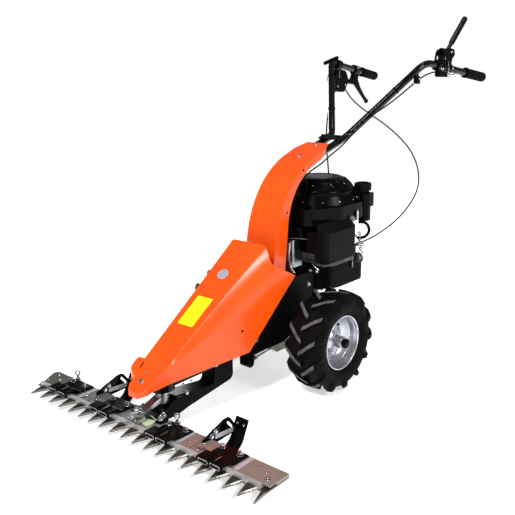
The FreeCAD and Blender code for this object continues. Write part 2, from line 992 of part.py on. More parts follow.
def column_taper(inset):
    """The column's plan: parallel sides that draw in towards the tip."""
    half = column_half - inset
    tip_half = column_tip_half - inset
    right = [
        (half, -300),
        (half, column_taper_y),
        (tip_half, column_tip_y),
        (tip_half, column_tip_y + 20),
    ]
    left = [(-x, y) for x, y in reversed(right)]
    return plan_profile(right + left, [0, 30, 0, 0, 0, 0, 30, 0], 0, 1000)


def column():
    """Channel-shaped steel column: curved front sheet with two side flanges."""
    front, back = column_rails()
    path = rounded_path([V(-column_half, y, z) for y, z in front], [0, column_bend, 0])
    sheet = path.makeOffset2D(column_sheet, 0, True, True)
    if sheet.BoundBox.YMin < path.BoundBox.YMin - 0.5:
        sheet = path.makeOffset2D(-column_sheet, 0, True, True)
    sheet = sheet.extrude(V(2 * column_half, 0, 0)).common(column_taper(0))
    outline = front + back[::-1]
    radii = [0, column_bend, 0, 0, 12, column_back_bend, 0]
    block = side_profile(outline, radii, -column_half, column_half)
    flanges = block.common(column_taper(0)).cut(column_taper(column_sheet))
    below = box(-column_half - 1, column_half + 1, -200, 100, deck_top - 20, deck_top)
    return fuse([sheet, flanges]).cut(below)


# ---------------------------------------------------------------- engine

def crankcase():
    """Black lower case, hollow over the deck, with the alloy adapter and the cylinder above it."""
    case = plan_profile(
        [
            (-crankcase_half_width, crankcase_front + 40),
            (-cylinder_half_width - 6, crankcase_front),
            (cylinder_half_width + 6, crankcase_front),
            (crankcase_half_width, crankcase_front + 40),
            (crankcase_half_width, crankcase_back),
            (-crankcase_half_width, crankcase_back),
        ],
        [24, 12, 12, 24, 44, 44],
        deck_top,
        crankcase_top,
    )
    adapter = box(
        -adapter_half_width,
        adapter_half_width,
        crankcase_front + 14,
        engine_y + adapter_half_width,
        crankcase_top - 2,
        adapter_top,
    )
    barrel = box(-cylinder_half_width, cylinder_half_width, cylinder_front, engine_y, 318, cylinder_top)
    neck = rod(V(0, engine_y, adapter_top - 4), V(0, engine_y, shroud_bottom), adapter_half_width - 2)
    sump_half = crankcase_half_width - sump_wall
    sump_front = crankcase_front + 44
    sump_back = crankcase_back - sump_wall
    sump = plan_profile(
        [(-sump_half, sump_front), (sump_half, sump_front), (sump_half, sump_back), (-sump_half, sump_back)],
        [20, 20, 30, 30],
        deck_top - 1,
        deck_top + sump_depth,
    )
    return fuse([case, adapter, barrel, neck]).cut(sump)


def engine_shroud():
    points = [
        (-shroud_radius, engine_y - 60),
        (-84, cylinder_front - 4),
        (96, cylinder_front - 4),
        (shroud_radius, engine_y - 70),
        (shroud_radius, engine_y + 60),
        (60, engine_y + shroud_radius),
        (-80, engine_y + shroud_radius),
        (-shroud_radius, engine_y + 70),
    ]
    radii = [60, 40, 40, 60, 50, 50, 60, 60]
    lower = plan_profile(points, radii, shroud_bottom, shroud_top - 26)
    upper = Part.makeCone(shroud_radius - 8, dome_radius + 4, 30, V(0, engine_y, shroud_top - 28))
    return fuse([lower, upper])


def recoil_cover():
    """Rounded starter dome on top of the shroud."""
    points = [
        V(0, engine_y, shroud_top + 2),
        V(dome_radius, engine_y, shroud_top + 2),
        V(dome_radius, engine_y, dome_wall_top),
        V(dome_top_radius + 16, engine_y, dome_top - 10),
        V(dome_top_radius - 4, engine_y, dome_top),
        V(0, engine_y, dome_top),
    ]
    outline = rounded_path(points, [0, 0, 16, 24, 10, 0], closed=True)
    return Part.Face(outline).revolve(V(0, engine_y, 0), Z_AXIS, 360)


def fuel_tank():
    """Tank at the shroud's left rear corner, with a wider band round its top."""
    def block(inset, bottom, top):
        x0, x1 = tank_x - tank_half_width, tank_x + tank_half_width - inset
        y0, y1 = tank_front + inset, tank_back - inset
        points = [(x0, y0), (x1, y0), (x1, y1), (x0, y1)]
        return plan_profile(points, [14, 20, 24, 24], bottom, top)

    cap_y = tank_back - cap_inset
    cap_x = tank_x + cap_shift
    neck = rod(V(cap_x, cap_y, tank_top - 2), V(cap_x, cap_y, tank_top + 8), cap_radius - 6)
    body = fuse([block(0, tank_band, tank_top), block(7, tank_bottom, tank_band + 1), neck])
    return body.cut(engine_shroud()).cut(recoil_cover()).cut(crankcase())


def fuel_cap():
    start = V(tank_x + cap_shift, tank_back - cap_inset, tank_top + 8)
    return rod(start, start + V(0, 0, cap_height), cap_radius)


def air_filter():
    """Filter box with a slanted upper edge, on a narrower base next to the cylinder."""
    points = [
        (filter_inner, filter_front),
        (filter_outer, filter_front),
        (filter_outer, filter_back),
        (filter_inner, filter_back),
    ]
    body = plan_profile(points, [8, 16, 10, 8], filter_bottom, filter_top)
    wedge = Part.Face(Part.makePolygon([
        V(filter_outer + 1, 0, filter_top - 26),
        V(filter_outer + 1, 0, filter_top + 1),
        V(filter_outer - 34, 0, filter_top + 1),
        V(filter_outer + 1, 0, filter_top - 26),
    ])).extrude(V(0, 260, 0))
    base = box(
        filter_base_inner,
        filter_inner + 4,
        filter_base_front,
        filter_back - 8,
        filter_bottom + 6,
        filter_base_top,
    )
    return fuse([body.cut(wedge), base]).cut(engine_shroud())


def carburettor():
    """Carburettor between the cylinder and the filter base, with its float bowl."""
    y0, y1 = filter_base_front + 26, filter_back - 44
    body = box(cylinder_half_width, filter_base_inner, y0, y1, filter_bottom + 30, filter_base_top - 16)
    bowl_y = (y0 + y1) / 2
    bowl_x = (cylinder_half_width + filter_base_inner) / 2
    bowl = rod(V(bowl_x, bowl_y, filter_bottom + 4), V(bowl_x, bowl_y, filter_bottom + 32), 10)
    return fuse([body, bowl])


def muffler():
    x0 = muffler_left - muffler_width
    y0 = cylinder_front - muffler_depth
    points = [(x0, y0), (muffler_left, y0), (muffler_left, cylinder_front), (x0, cylinder_front)]
    return plan_profile(points, [8, 8, 0, 0], muffler_bottom, muffler_top)


def oil_filler():
    start = V(crankcase_half_width - 34, crankcase_back - filler_back, crankcase_top - filler_drop)
    run = V(filler_reach, 0, filler_rise)
    end = start + run
    neck = rod(start, end, filler_radius - 4)
    cap = rod(end, end + run.normalize() * filler_cap_height, filler_radius)
    return fuse([neck, cap]).cut(crankcase())


def cable_clip():
    """Small plate on the crankcase's left side that stops the throttle cable's sheath."""
    end = throttle_route[-1]
    return box(crankcase_half_width, end.x + 8, end.y - 5, end.y - 1, crankcase_top - 24, end.z + 8)


# ---------------------------------------------------------------- handles

def handle_points(side):
    """Where the straight runs of one handle tube meet, from inside the column to the grip's end."""
    return [
        V(side * tube_spread, stub_front_y, stub_front_z),
        V(side * tube_spread, knee_y, knee_z),
        V(side * bend_x, bend_y, bend_z),
        V(side * grip_x, grip_y, grip_z),
    ]


def along_grip(side, y):
    """The point on the grip run's axis at a given Y."""
    bend, end = handle_points(side)[2:]
    return bend + (end - bend) * ((y - bend_y) / (grip_y - bend_y))


def grip_direction(side):
    bend, end = handle_points(side)[2:]
    return (end - bend).normalize()


def handle_tube(side):
    return bent_tube(handle_points(side), [0, knee_radius, bend_radius, 0], tube_radius, tube_bore)


def tube_clearance(side):
    """The space of one handle tube with a seat gap round it, cut out of whatever is clamped on it."""
    return bent_tube(handle_points(side), [0, knee_radius, bend_radius, 0], tube_radius + seat_gap)


def grip(side):
    end = handle_points(side)[3]
    along = grip_direction(side)
    sleeve = rod(end - along * grip_length, end + along * 6, grip_radius)
    return sleeve.cut(tube_clearance(side))


def stub_rise():
    return (knee_z - stub_front_z) / (knee_y - stub_front_y)


def handle_saddle():
    """Clamp block that beds both tubes against the column's top sheet."""
    def tube_z(y):
        return stub_front_z + (y - stub_front_y) * stub_rise()

    def sheet_z(y):
        cover = column_sheet * math.sqrt(1 + column_slope ** 2)
        return column_corner_z + column_slope * (y - column_corner_y) - cover

    y0, y1 = saddle_front, saddle_front + saddle_length
    half = column_half - column_sheet
    outline = [(y0, tube_z(y0)), (y1, tube_z(y1)), (y1, sheet_z(y1)), (y0, sheet_z(y0))]
    block = side_profile(outline, [0] * 4, -half, half)
    block = block.common(column_taper(column_sheet))
    for side in (-1, 1):
        block = block.cut(tube_clearance(side))
    return block


def handle_bridge():
    """Perforated plate across the two tubes, just below where they part."""
    slope = V(0, 1, stub_rise()).normalize()
    up = V(0, -slope.z, slope.y)
    knee = V(0, knee_y, knee_z)
    base = knee - slope * (bridge_length + bridge_back) + up * (tube_radius + seat_gap)
    half = tube_spread + tube_radius
    right, left = V(-half, 0, 0), V(half, 0, 0)
    upward = slope * bridge_length
    corners = [right, left, left + upward, right + upward]
    outline = rounded_path([base + c for c in corners], [6] * 4, closed=True)
    plate = Part.Face(outline).extrude(up * 4)
    for x in (-24, 0, 24):
        spot = base + V(x, 0, 0) + slope * (bridge_length / 2) - up
        plate = plate.cut(rod(spot, spot + up * 8, 4.5))
    return plate


def tube_clamp(side, y, length, radius):
    """A split-looking collar on the grip run, with running room for the tube."""
    middle = along_grip(side, y)
    along = grip_direction(side)
    return middle, rod(middle - along * length / 2, middle + along * length / 2, radius)


def clutch_pivot():
    middle = along_grip(1, clutch_y)
    return V(middle.x, clutch_y + 26, middle.z + clutch_rise)


def clutch_bracket():
    """Collar on the left grip run with two upright ears that hold the clutch lever."""
    middle, collar = tube_clamp(1, clutch_y, clutch_collar, tube_radius + 6)
    x, z = middle.x, middle.z
    outline = [
        (clutch_y - 34, z),
        (clutch_y + 34, z),
        (clutch_y + 38, z + 24),
        (clutch_y + 58, z + 40),
        (clutch_y + 52, z + 58),
        (clutch_y + 14, z + 64),
        (clutch_y - 20, z + 54),
    ]
    radii = [4, 10, 14, 6, 10, 20, 20]
    ears = [side_profile(outline, radii, x + dx - 2, x + dx + 2) for dx in (-15, 15)]
    skirt = side_profile(
        [
            (clutch_y - 36, z - 34),
            (clutch_y + 34, z - 36),
            (clutch_y + 38, z),
            (clutch_y - 36, z),
        ],
        [8, 8, 0, 0],
        x - 8,
        x + 8,
    )
    pivot = clutch_pivot()
    pin = rod(pivot - X_AXIS * 20, pivot + X_AXIS * 20, 5)
    window = rod(V(x - 20, clutch_y - 10, z + 30), V(x + 20, clutch_y - 10, z + 30), 8)
    return fuse([collar, skirt] + ears).cut(tube_clearance(1)).cut(window).fuse(pin)


def clutch_lever():
    """Long hand lever that stands up from the clutch bracket."""
    foot = clutch_pivot()
    tip = V(foot.x, clutch_tip_y, clutch_tip_z)
    along = (tip - foot).normalize()
    boss = rod(foot - X_AXIS * 11, foot + X_AXIS * 11, 12)
    blade = rod(foot, foot + along * 60, 7)
    handle = rod(foot + along * 44, tip - along * 9, 10)
    end = Part.makeSphere(10, tip - along * 9)
    bore = rod(foot - X_AXIS * 12, foot + X_AXIS * 12, 5 + running_gap)
    return fuse([boss, blade, handle, end]).cut(bore)


def throttle_housing():
    """D-shaped throttle housing clamped against the right tube below its bend."""
    knee, bend = handle_points(-1)[1:3]
    run = (bend - knee).normalize()
    behind = V(0, run.z, -run.y).normalize()
    low = bend - run * 74
    high = bend - run * 24
    corner_low = low + behind * (tube_radius - 2)
    corner_high = high + behind * (tube_radius - 2)
    x = (low.x + high.x) / 2 + 4
    outline = [
        (corner_low.y, corner_low.z),
        (corner_high.y, corner_high.z),
        (corner_high.y + 44, corner_high.z - 8),
        (corner_high.y + 62, corner_high.z - 44),
        (corner_low.y + 66, corner_low.z - 52),
        (corner_low.y + 22, corner_low.z - 50),
    ]
    body = side_profile(outline, [6, 6, 26, 24, 22, 14], x - housing_width / 2, x + housing_width / 2)
    return body.cut(tube_clearance(-1))


def brake_lever():
    """Hand lever on a collar below the right grip run."""
    middle, collar = tube_clamp(-1, brake_y, 30, tube_radius + 6)
    x = middle.x
    body = side_profile(
        [
            (brake_y - 14, middle.z),
            (brake_y + 12, middle.z),
            (brake_y + 14, middle.z - 34),
            (brake_y + 2, middle.z - 58),
            (brake_y - 34, middle.z - 52),
            (brake_y - 46, middle.z - 40),
            (brake_y - 20, middle.z - 30),
        ],
        [0, 0, 24, 14, 8, 6, 16],
        x - 8,
        x + 8,
    )
    root = V(x, brake_y - 6, middle.z - 46)
    tip = V(x, brake_tip_y, brake_tip_z)
    blade = rod(root, tip, 7)
    ball = Part.makeSphere(9, tip)
    return fuse([collar, body, blade, ball]).cut(tube_clearance(-1))


def speed_lever():
    """Short lever with a round-ended grip that points forward from the right tube's bend."""
    middle, collar = tube_clamp(-1, speed_y, 26, tube_radius + 6)
    x = middle.x
    z = middle.z + tube_radius + paddle_rise
    root = V(x, speed_y - 4, z)
    tip = V(x, root.y - paddle_length, z - paddle_drop)
    inward = (root - tip).normalize() * paddle_half_width
    paddle = rod(root, tip + inward, paddle_half_width)
    end = Part.makeSphere(paddle_half_width, tip + inward)
    post = rod(V(x, speed_y - 10, middle.z), V(x, speed_y - 10, z - 1), 5.5)
    return fuse([collar, post, paddle, end]).cut(tube_clearance(-1))


# ---------------------------------------------------------------- drive engagement

def engage_lug():
    """Rounded tab below the chassis front that the engagement rod pulls."""
    outline = [
        (chassis_front + chassis_sheet, chassis_lip),
        (chassis_front + chassis_sheet, chassis_lip + 24),
        (lug_y + 14, chassis_lip + 24),
        (lug_y + 14, lug_bottom),
        (lug_y - 14, lug_bottom),
        (lug_y - 14, chassis_lip),
    ]
    return side_profile(outline, [0, 0, 4, 13, 13, 4], lug_x - lug_width / 2, lug_x + lug_width / 2)


def engage_rod():
    """Thin rod from the gearbox's shift arm forward to the lug."""
    start = V(lug_x + 8, lug_y + 16, lug_bottom + 18)
    end = V(gearbox_half_width + 14, -100, gearbox_bottom + 33)
    thin = rod(start, end, 2.5)
    nut = rod(start, start + (end - start).normalize() * 16, 6)
    wall = gearbox_half_width
    arm_z = gearbox_bottom + 38
    arm = rod(V(wall, -60, arm_z), V(wall + 18, -60, arm_z), 7)
    link = box(wall + 12, wall + 16, -106, -54, arm_z - 10, arm_z + 6)
    return fuse([thin, nut, arm, link])


# ---------------------------------------------------------------- cables

def cable(name, route):
    """A round cable on straight runs joined by arcs as large as each pair of runs allows."""
    radii = [0.0]
    length = 0.0
    for i in range(1, len(route) - 1):
        before = (route[i - 1] - route[i]).Length
        after = (route[i + 1] - route[i]).Length
        turn = math.pi - (route[i - 1] - route[i]).getAngle(route[i + 1] - route[i])
        radii.append(0.45 * min(before, after) / math.tan(turn / 2))
    radii.append(0.0)
    spine = rounded_path(route, radii)
    shape = bent_tube(route, radii, cable_radius)
    length = spine.Length
    expected = math.pi * cable_radius ** 2 * length
    print(name, "length", round(length), "volume ratio", round(shape.Volume / expected, 4))
    print(name, "bend radii", [round(r) for r in radii[1:-1]])
    return shape


def main_pieces():
    for side, word in ((1, "left"), (-1, "right")):
        save("tyre_" + word, tyre(side))
        save("rim_" + word, rim(side))
        save("axle_" + word, axle(side))
        save("skid_plate_" + word, skid_plate(side))
        save("skid_shoe_" + word, skid_shoe(side))
        save("skid_arm_" + word, skid_arm(side))
        save("handle_tube_" + word, handle_tube(side))
        save("grip_" + word, grip(side))
    save("gearbox", gearbox())
    save("chassis", chassis())
    save("boom", boom())
    save("boom_foot", boom_foot())
    save("crank_housing", crank_housing())
    arm, tail = drive_arm()
    save("drive_arm", arm)
    save("crank_shaft", fuse([crank_shaft(), tail]))
    save("comb_strip", comb_strip())
    save("comb_fingers", comb_fingers())
    save("knife_rail", knife_rail())
    save("knife_sections", knife_sections())
    save("knife_head", knife_head())
    save("bar_beam", bar_beam())
    save("bar_plates", bar_plates())
    save("knife_holders", holders())
    save("hood", hood())
    save("column", column())
    save("crankcase", crankcase())
    save("engine_shroud", engine_shroud())
    save("recoil_cover", recoil_cover())
    save("fuel_tank", fuel_tank())
    save("fuel_cap", fuel_cap())
    save("air_filter", air_filter())
    save("carburettor", carburettor())
    save("muffler", muffler())
    save("oil_filler", oil_filler())
    save("handle_saddle", handle_saddle())
    save("handle_bridge", handle_bridge())
    save("clutch_bracket", clutch_bracket())
    save("clutch_lever", clutch_lever())
    save("throttle_housing", throttle_housing())
    save("brake_lever", brake_lever())
    save("speed_lever", speed_lever())
    save("engage_lug", engage_lug())
    save("engage_rod", engage_rod())
    save("cable_clip", cable_clip())
    save("throttle_cable", cable("throttle_cable", throttle_route))
    save("stop_cable", cable("stop_cable", stop_route))
    save("clutch_cable", cable("clutch_cable", clutch_route))


os.makedirs("parts", exist_ok=True)
main_pieces()
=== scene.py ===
import bpy
import bmesh
import math
from mathutils import Matrix, Vector
from mathutils.bvhtree import BVHTree


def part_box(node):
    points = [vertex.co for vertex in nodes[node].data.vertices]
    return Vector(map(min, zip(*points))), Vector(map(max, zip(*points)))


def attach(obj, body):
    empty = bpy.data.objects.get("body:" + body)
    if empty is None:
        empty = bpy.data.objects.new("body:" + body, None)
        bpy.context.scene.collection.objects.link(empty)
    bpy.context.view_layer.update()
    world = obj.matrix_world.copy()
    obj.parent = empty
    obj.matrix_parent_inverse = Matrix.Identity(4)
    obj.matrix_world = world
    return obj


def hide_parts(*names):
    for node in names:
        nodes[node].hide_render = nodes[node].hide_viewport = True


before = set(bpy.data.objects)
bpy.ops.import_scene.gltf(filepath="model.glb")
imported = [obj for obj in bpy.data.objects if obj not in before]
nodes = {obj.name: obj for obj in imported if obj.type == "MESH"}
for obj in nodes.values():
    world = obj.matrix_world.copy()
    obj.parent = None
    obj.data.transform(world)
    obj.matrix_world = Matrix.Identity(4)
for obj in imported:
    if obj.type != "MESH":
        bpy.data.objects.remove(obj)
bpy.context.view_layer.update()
print("frame loaded:", len(nodes), "nodes")


def addStep(tree, kind, feeds=None, values=None, mode=None):
    # a shader node, with the outputs that feed its sockets and the numbers set on the others
    step = tree.nodes.new("ShaderNode" + kind)
    if kind == "Mix":
        step.data_type = "RGBA"
    if mode:
        step.operation = mode
    live = [s for s in step.inputs if s.enabled]
    named = {s.name: s for s in reversed(live)}
    for socket, value in (values or {}).items():
        (live[socket] if isinstance(socket, int) else named[socket]).default_value = value
    for socket, source in (feeds or {}).items():
        if isinstance(source, bpy.types.Node):
            source = [s for s in source.outputs if s.enabled][0]
        tree.links.new(source, live[socket] if isinstance(socket, int) else named[socket])
    return step


# camera, lights and floor

view = {
    "place": (1.47419, -1.79047, 1.01902),
    "right": (0.756496, 0.653916, -0.010346),
    "up": (-0.164123, 0.205135, 0.964875),
    "back": (0.633070, -0.728226, 0.262506),
    "lens": 52.1,
    "sensor": 36,
}


def addCamera(settings):
    data = bpy.data.cameras.new("camera")
    data.lens = settings["lens"]
    data.sensor_width = settings["sensor"]
    camera = bpy.data.objects.new("camera", data)
    bpy.context.scene.collection.objects.link(camera)
    turn = Matrix((settings["right"], settings["up"], settings["back"])).transposed()
    camera.matrix_world = Matrix.Translation(settings["place"]) @ turn.to_4x4()
    bpy.context.scene.camera = camera


def addSoftLight(name, place, target, size, power):
    data = bpy.data.lights.new(name, "AREA")
    data.shape = "RECTANGLE"
    data.size, data.size_y = size
    data.energy = power
    light = bpy.data.objects.new(name, data)
    light.location = place
    light.rotation_mode = "QUATERNION"
    light.rotation_quaternion = (Vector(target) - Vector(place)).to_track_quat("-Z", "Y")
    bpy.context.scene.collection.objects.link(light)


studio = {
    "sky": (1.0, 1.0, 1.0, 1.0),
    "skyStrength": 0.5,
    "backdropStrength": 1.0,
    "wallStrength": 0.17,
    "floor": (0.95, 0.95, 0.95, 1.0),
    "floorGlow": 0.53,
    "floorReach": 14,
    "lamps": {  # place, target, size, power
        "keyLight": ((0.3, -2.3, 2.7), (0.0, -0.2, 0.3), (0.6, 0.45), 56),
        "sideLight": ((3.0, 0.0, 1.9), (0.0, 0.0, 0.4), (1.1, 0.36), 46),
        "rimLight": ((-2.9, 2.2, 1.0), (0.0, 0.0, 0.5), (1.0, 0.8), 26),
        "topLight": ((0.4, 0.6, 3.2), (0.0, 0.1, 0.4), (0.5, 0.5), 6),
        "stripLight": ((0.5, -1.4, 3.2), (0.1, 0.4, 0.8), (0.14, 0.6), 12),
    },
}


def addWorld(settings):
    world = bpy.data.worlds.new("studio")
    world.use_nodes = True
    tree = world.node_tree
    # soft sky; dark walls as bright parts mirror them; plain white paper where the backdrop is seen directly
    skies = [addStep(tree, "Background", values={"Color": settings["sky"], "Strength": settings[strength]})
             for strength in ("skyStrength", "wallStrength", "backdropStrength")]
    seen = tree.nodes.new("ShaderNodeLightPath")
    walls = addStep(tree, "MixShader", {0: seen.outputs["Is Glossy Ray"], 1: skies[0], 2: skies[1]})
    both = addStep(tree, "MixShader", {0: seen.outputs["Is Camera Ray"], 1: walls, 2: skies[2]})
    tree.links.new(both.outputs["Shader"], tree.nodes["World Output"].inputs["Surface"])
    bpy.context.scene.world = world
    bpy.context.scene.view_settings.view_transform = "Standard"


def addFloor(settings):
    mesh = bpy.data.meshes.new("floor")
    reach = settings["floorReach"]
    corners = [(-reach, -reach, 0), (reach, -reach, 0), (reach, reach, 0), (-reach, reach, 0)]
    mesh.from_pydata(corners, [], [(0, 1, 2, 3)])
    floor = bpy.data.objects.new("floor", mesh)
    bpy.context.scene.collection.objects.link(floor)
    paper = bpy.data.materials.new("studioPaper")
    paper.use_nodes = True
    surface = paper.node_tree.nodes["Principled BSDF"]
    for socket, value in (("Base Color", settings["floor"]), ("Roughness", 0.9), ("Specular IOR Level", 0.1),
                          ("Emission Color", (1, 1, 1, 1)), ("Emission Strength", settings["floorGlow"])):
        surface.inputs[socket].default_value = value
    mesh.materials.append(paper)


addCamera(view)
addWorld(studio)
for name, lamp in studio["lamps"].items():
    addSoftLight(name, *lamp)
addFloor(studio)
print("camera and studio set")


# finishes

plainLook = dict(metal=0, glint=0.5, coat=0, stretch=(1, 1, 1), patch=30, grain=700, wear=0.5, soft=0.0006)
patchNoise = {"Detail": 5.0, "Roughness": 0.62}
grainNoise = {"Detail": 6.0, "Roughness": 0.6}
toneSpan = {"From Min": 0.36, "From Max": 0.66}
edgeSpan = {"From Min": 0.985, "From Max": 0.86}
glossSpan = {"From Min": 0.3, "From Max": 0.7}

finishLooks = {  # a grey is given as one number; rough is the range of roughness
    "orangePaint": dict(colour=(0.92, 0.092, 0.0035), shade=(0.84, 0.076, 0.003), edge=(1.0, 0.22, 0.04),
                        glint=0.36, rough=(0.20, 0.27), coat=0.06, patch=5, depth=0.00001, wear=0.35,
                        soft=0.0014),
    "blackPaint": dict(colour=(0.0014, 0.0014, 0.0016), shade=(0.0028, 0.0027, 0.0027), edge=0.02,
                       glint=0.10, rough=(0.06, 0.15), patch=9, grain=900, depth=0.00003, soft=0.0011),
    "tubePaint": dict(colour=(0.0012, 0.0012, 0.0014), shade=0.0024, edge=0.02, glint=0.42,
                      rough=(0.05, 0.11), patch=9, grain=900, depth=0.00002, wear=0.4, soft=0.0008),
    "barBlack": dict(colour=(0.0016, 0.0016, 0.0018), shade=(0.0034, 0.0033, 0.0033), edge=0.04,
                     glint=0.03, rough=(0.2, 0.36), patch=9, depth=0.00006, soft=0.0008),
    "blackPlastic": dict(colour=(0.0014, 0.0014, 0.0016), shade=(0.0028, 0.0027, 0.0026), edge=0.02,
                         glint=0.07, rough=(0.12, 0.28), patch=12, grain=1500, depth=0.00007, wear=0.25,
                         soft=0.0018),
    "shinyPlastic": dict(colour=(0.0022, 0.0022, 0.0024), shade=(0.004, 0.004, 0.0038), edge=0.03,
                         glint=0.22, rough=(0.06, 0.16), patch=14, grain=1100, depth=0.00003, wear=0.3,
                         soft=0.0012),
    "filterShell": dict(colour=(0.0032, 0.0030, 0.0029), shade=(0.0062, 0.0058, 0.0055),
                        edge=(0.03, 0.029, 0.028), glint=0.045, rough=(0.3, 0.5), patch=10, grain=900,
                        depth=0.00012, wear=0.4, soft=0.0022),
    "engineCast": dict(colour=0.0022, shade=(0.006, 0.006, 0.0058), edge=(0.09, 0.088, 0.085), glint=0.03,
                       rough=(0.4, 0.65), patch=26, grain=520, depth=0.0002, wear=0.4, soft=0.0018),
    "gearCast": dict(colour=(0.36, 0.37, 0.32), shade=(0.22, 0.225, 0.195), edge=(0.7, 0.7, 0.66),
                     rough=(0.42, 0.62), metal=0.5, patch=22, grain=420, depth=0.0003, soft=0.0018),
    "paleCast": dict(colour=(0.20, 0.20, 0.19), shade=(0.12, 0.12, 0.115), edge=(0.4, 0.4, 0.38),
                     glint=0.3, rough=(0.45, 0.65), metal=0.4, patch=28, grain=520, depth=0.00025,
                     soft=0.0012),
    "greyCast": dict(colour=(0.055, 0.056, 0.06), shade=(0.03, 0.03, 0.034), edge=(0.25, 0.25, 0.26),
                     glint=0.2, rough=(0.4, 0.6), metal=0.3, grain=560, depth=0.0002, soft=0.0009),
    "shelfCast": dict(colour=(0.10, 0.10, 0.098), shade=0.05, edge=(0.3, 0.3, 0.29), glint=0.2,
                      rough=(0.4, 0.6), metal=0.3, patch=40, grain=520, depth=0.00025, wear=0.6,
                      soft=0.0012),
    "mufflerSteel": dict(colour=(0.34, 0.37, 0.36), shade=(0.12, 0.15, 0.145), edge=(0.9, 0.9, 0.88),
                         metal=1, rough=(0.14, 0.34), patch=14, grain=300, depth=0.0001, soft=0.0016),
    "zincSteel": dict(colour=0.58, shade=(0.36, 0.36, 0.365), edge=0.92, rough=(0.24, 0.42), metal=1,
                      patch=18, grain=600, depth=0.00006, soft=0.0007),
    "chromeSteel": dict(colour=(0.66, 0.67, 0.69), shade=(0.40, 0.41, 0.44), edge=0.95,
                        rough=(0.10, 0.24), metal=1, patch=40, grain=900, depth=0.00003, wear=0.4,
                        soft=0.0005),
    "bladeSteel": dict(colour=(0.060, 0.056, 0.050), shade=(0.12, 0.112, 0.10), edge=(0.6, 0.58, 0.54),
                       metal=0.9, rough=(0.3, 0.5), depth=0.00008, wear=0.6, soft=0.0004),
    "groundSteelAndHighlight": dict(colour=(0.74, 0.73, 0.71), shade=(0.52, 0.51, 0.485), edge=(0.95, 0.95, 0.93),
                        metal=0.85, rough=(0.2, 0.34), patch=50, grain=1400, stretch=(0.25, 1.0, 1.0),
                        depth=0.00008, wear=0.4, soft=0.0002),
    "railSteel": dict(colour=(0.46, 0.445, 0.43), shade=0.30, edge=0.85, glint=0.3, rough=(0.3, 0.45),
                      metal=0.3, patch=26, grain=800, stretch=(0.2, 1.0, 1.0), depth=0.00006),
    "axleSteel": dict(colour=(0.42, 0.42, 0.44), shade=(0.27, 0.27, 0.29), edge=0.8, rough=(0.25, 0.45),
                      metal=1, grain=800, stretch=(1.0, 0.2, 0.2), depth=0.00005, wear=0.4),
    "rimPaint": dict(colour=(0.60, 0.61, 0.65), shade=(0.40, 0.41, 0.45), edge=(0.95, 0.95, 0.97),
                     rough=(0.2, 0.42), metal=0.9, patch=34, grain=260, depth=0.00012, wear=0.7,
                     soft=0.0012),
    "tyreRubber": dict(colour=(0.0030, 0.0030, 0.0029), shade=(0.0066, 0.0064, 0.0062),
                       edge=(0.02, 0.0195, 0.0185), glint=0.03, rough=(0.42, 0.66), patch=16, grain=900,
                       depth=0.0002, soft=0.0016),
    "lugRubber": dict(colour=(0.115, 0.114, 0.110), shade=(0.058, 0.057, 0.055), edge=(0.17, 0.166, 0.16),
                      glint=0.1, rough=(0.6, 0.82), patch=34, depth=0.0003, wear=0.4, soft=0.0012),
    "gripRubber": dict(colour=0.003, shade=(0.007, 0.007, 0.0068), edge=0.02, glint=0.04,
                       rough=(0.45, 0.66), patch=26, grain=1600, depth=0.00012, wear=0.3, soft=0.0008),
    "cableSheath": dict(colour=0.003, shade=0.007, edge=0.02, glint=0.06, rough=(0.3, 0.46), grain=900,
                        depth=0.00004, wear=0.1, soft=0.0004),
    "yellowPlate": dict(colour=(0.96, 0.80, 0.003), shade=(0.9, 0.73, 0.003), edge=(1.0, 0.92, 0.2),
                        glint=0.3, rough=(0.3, 0.42), patch=40, grain=800, depth=0.00002, wear=0.3,
                        soft=0.0003),
    "paleTag": dict(colour=(0.52, 0.62, 0.34), shade=(0.46, 0.58, 0.40), edge=(0.75, 0.8, 0.62),
                    glint=0.2, rough=(0.35, 0.5), patch=60, depth=0.00004, wear=0.3, soft=0.0003),
    "paleStrip": dict(colour=(0.52, 0.545, 0.60), shade=(0.40, 0.43, 0.50), edge=(0.8, 0.8, 0.85),
                      glint=0.4, rough=(0.22, 0.4), metal=0.35, patch=40, depth=0.00005, soft=0.0004),
    "brushedDisc": dict(colour=(0.42, 0.38, 0.42), shade=(0.34, 0.31, 0.34), edge=(0.7, 0.68, 0.7),
                        metal=0.8, rough=(0.3, 0.44), patch=24, grain=900, stretch=(0.15, 1.0, 1.0),
                        depth=0.00006, wear=0.3),
}


def paint(tone):
    return (tone, tone, tone, 1) if isinstance(tone, (int, float)) else (*tone, 1)


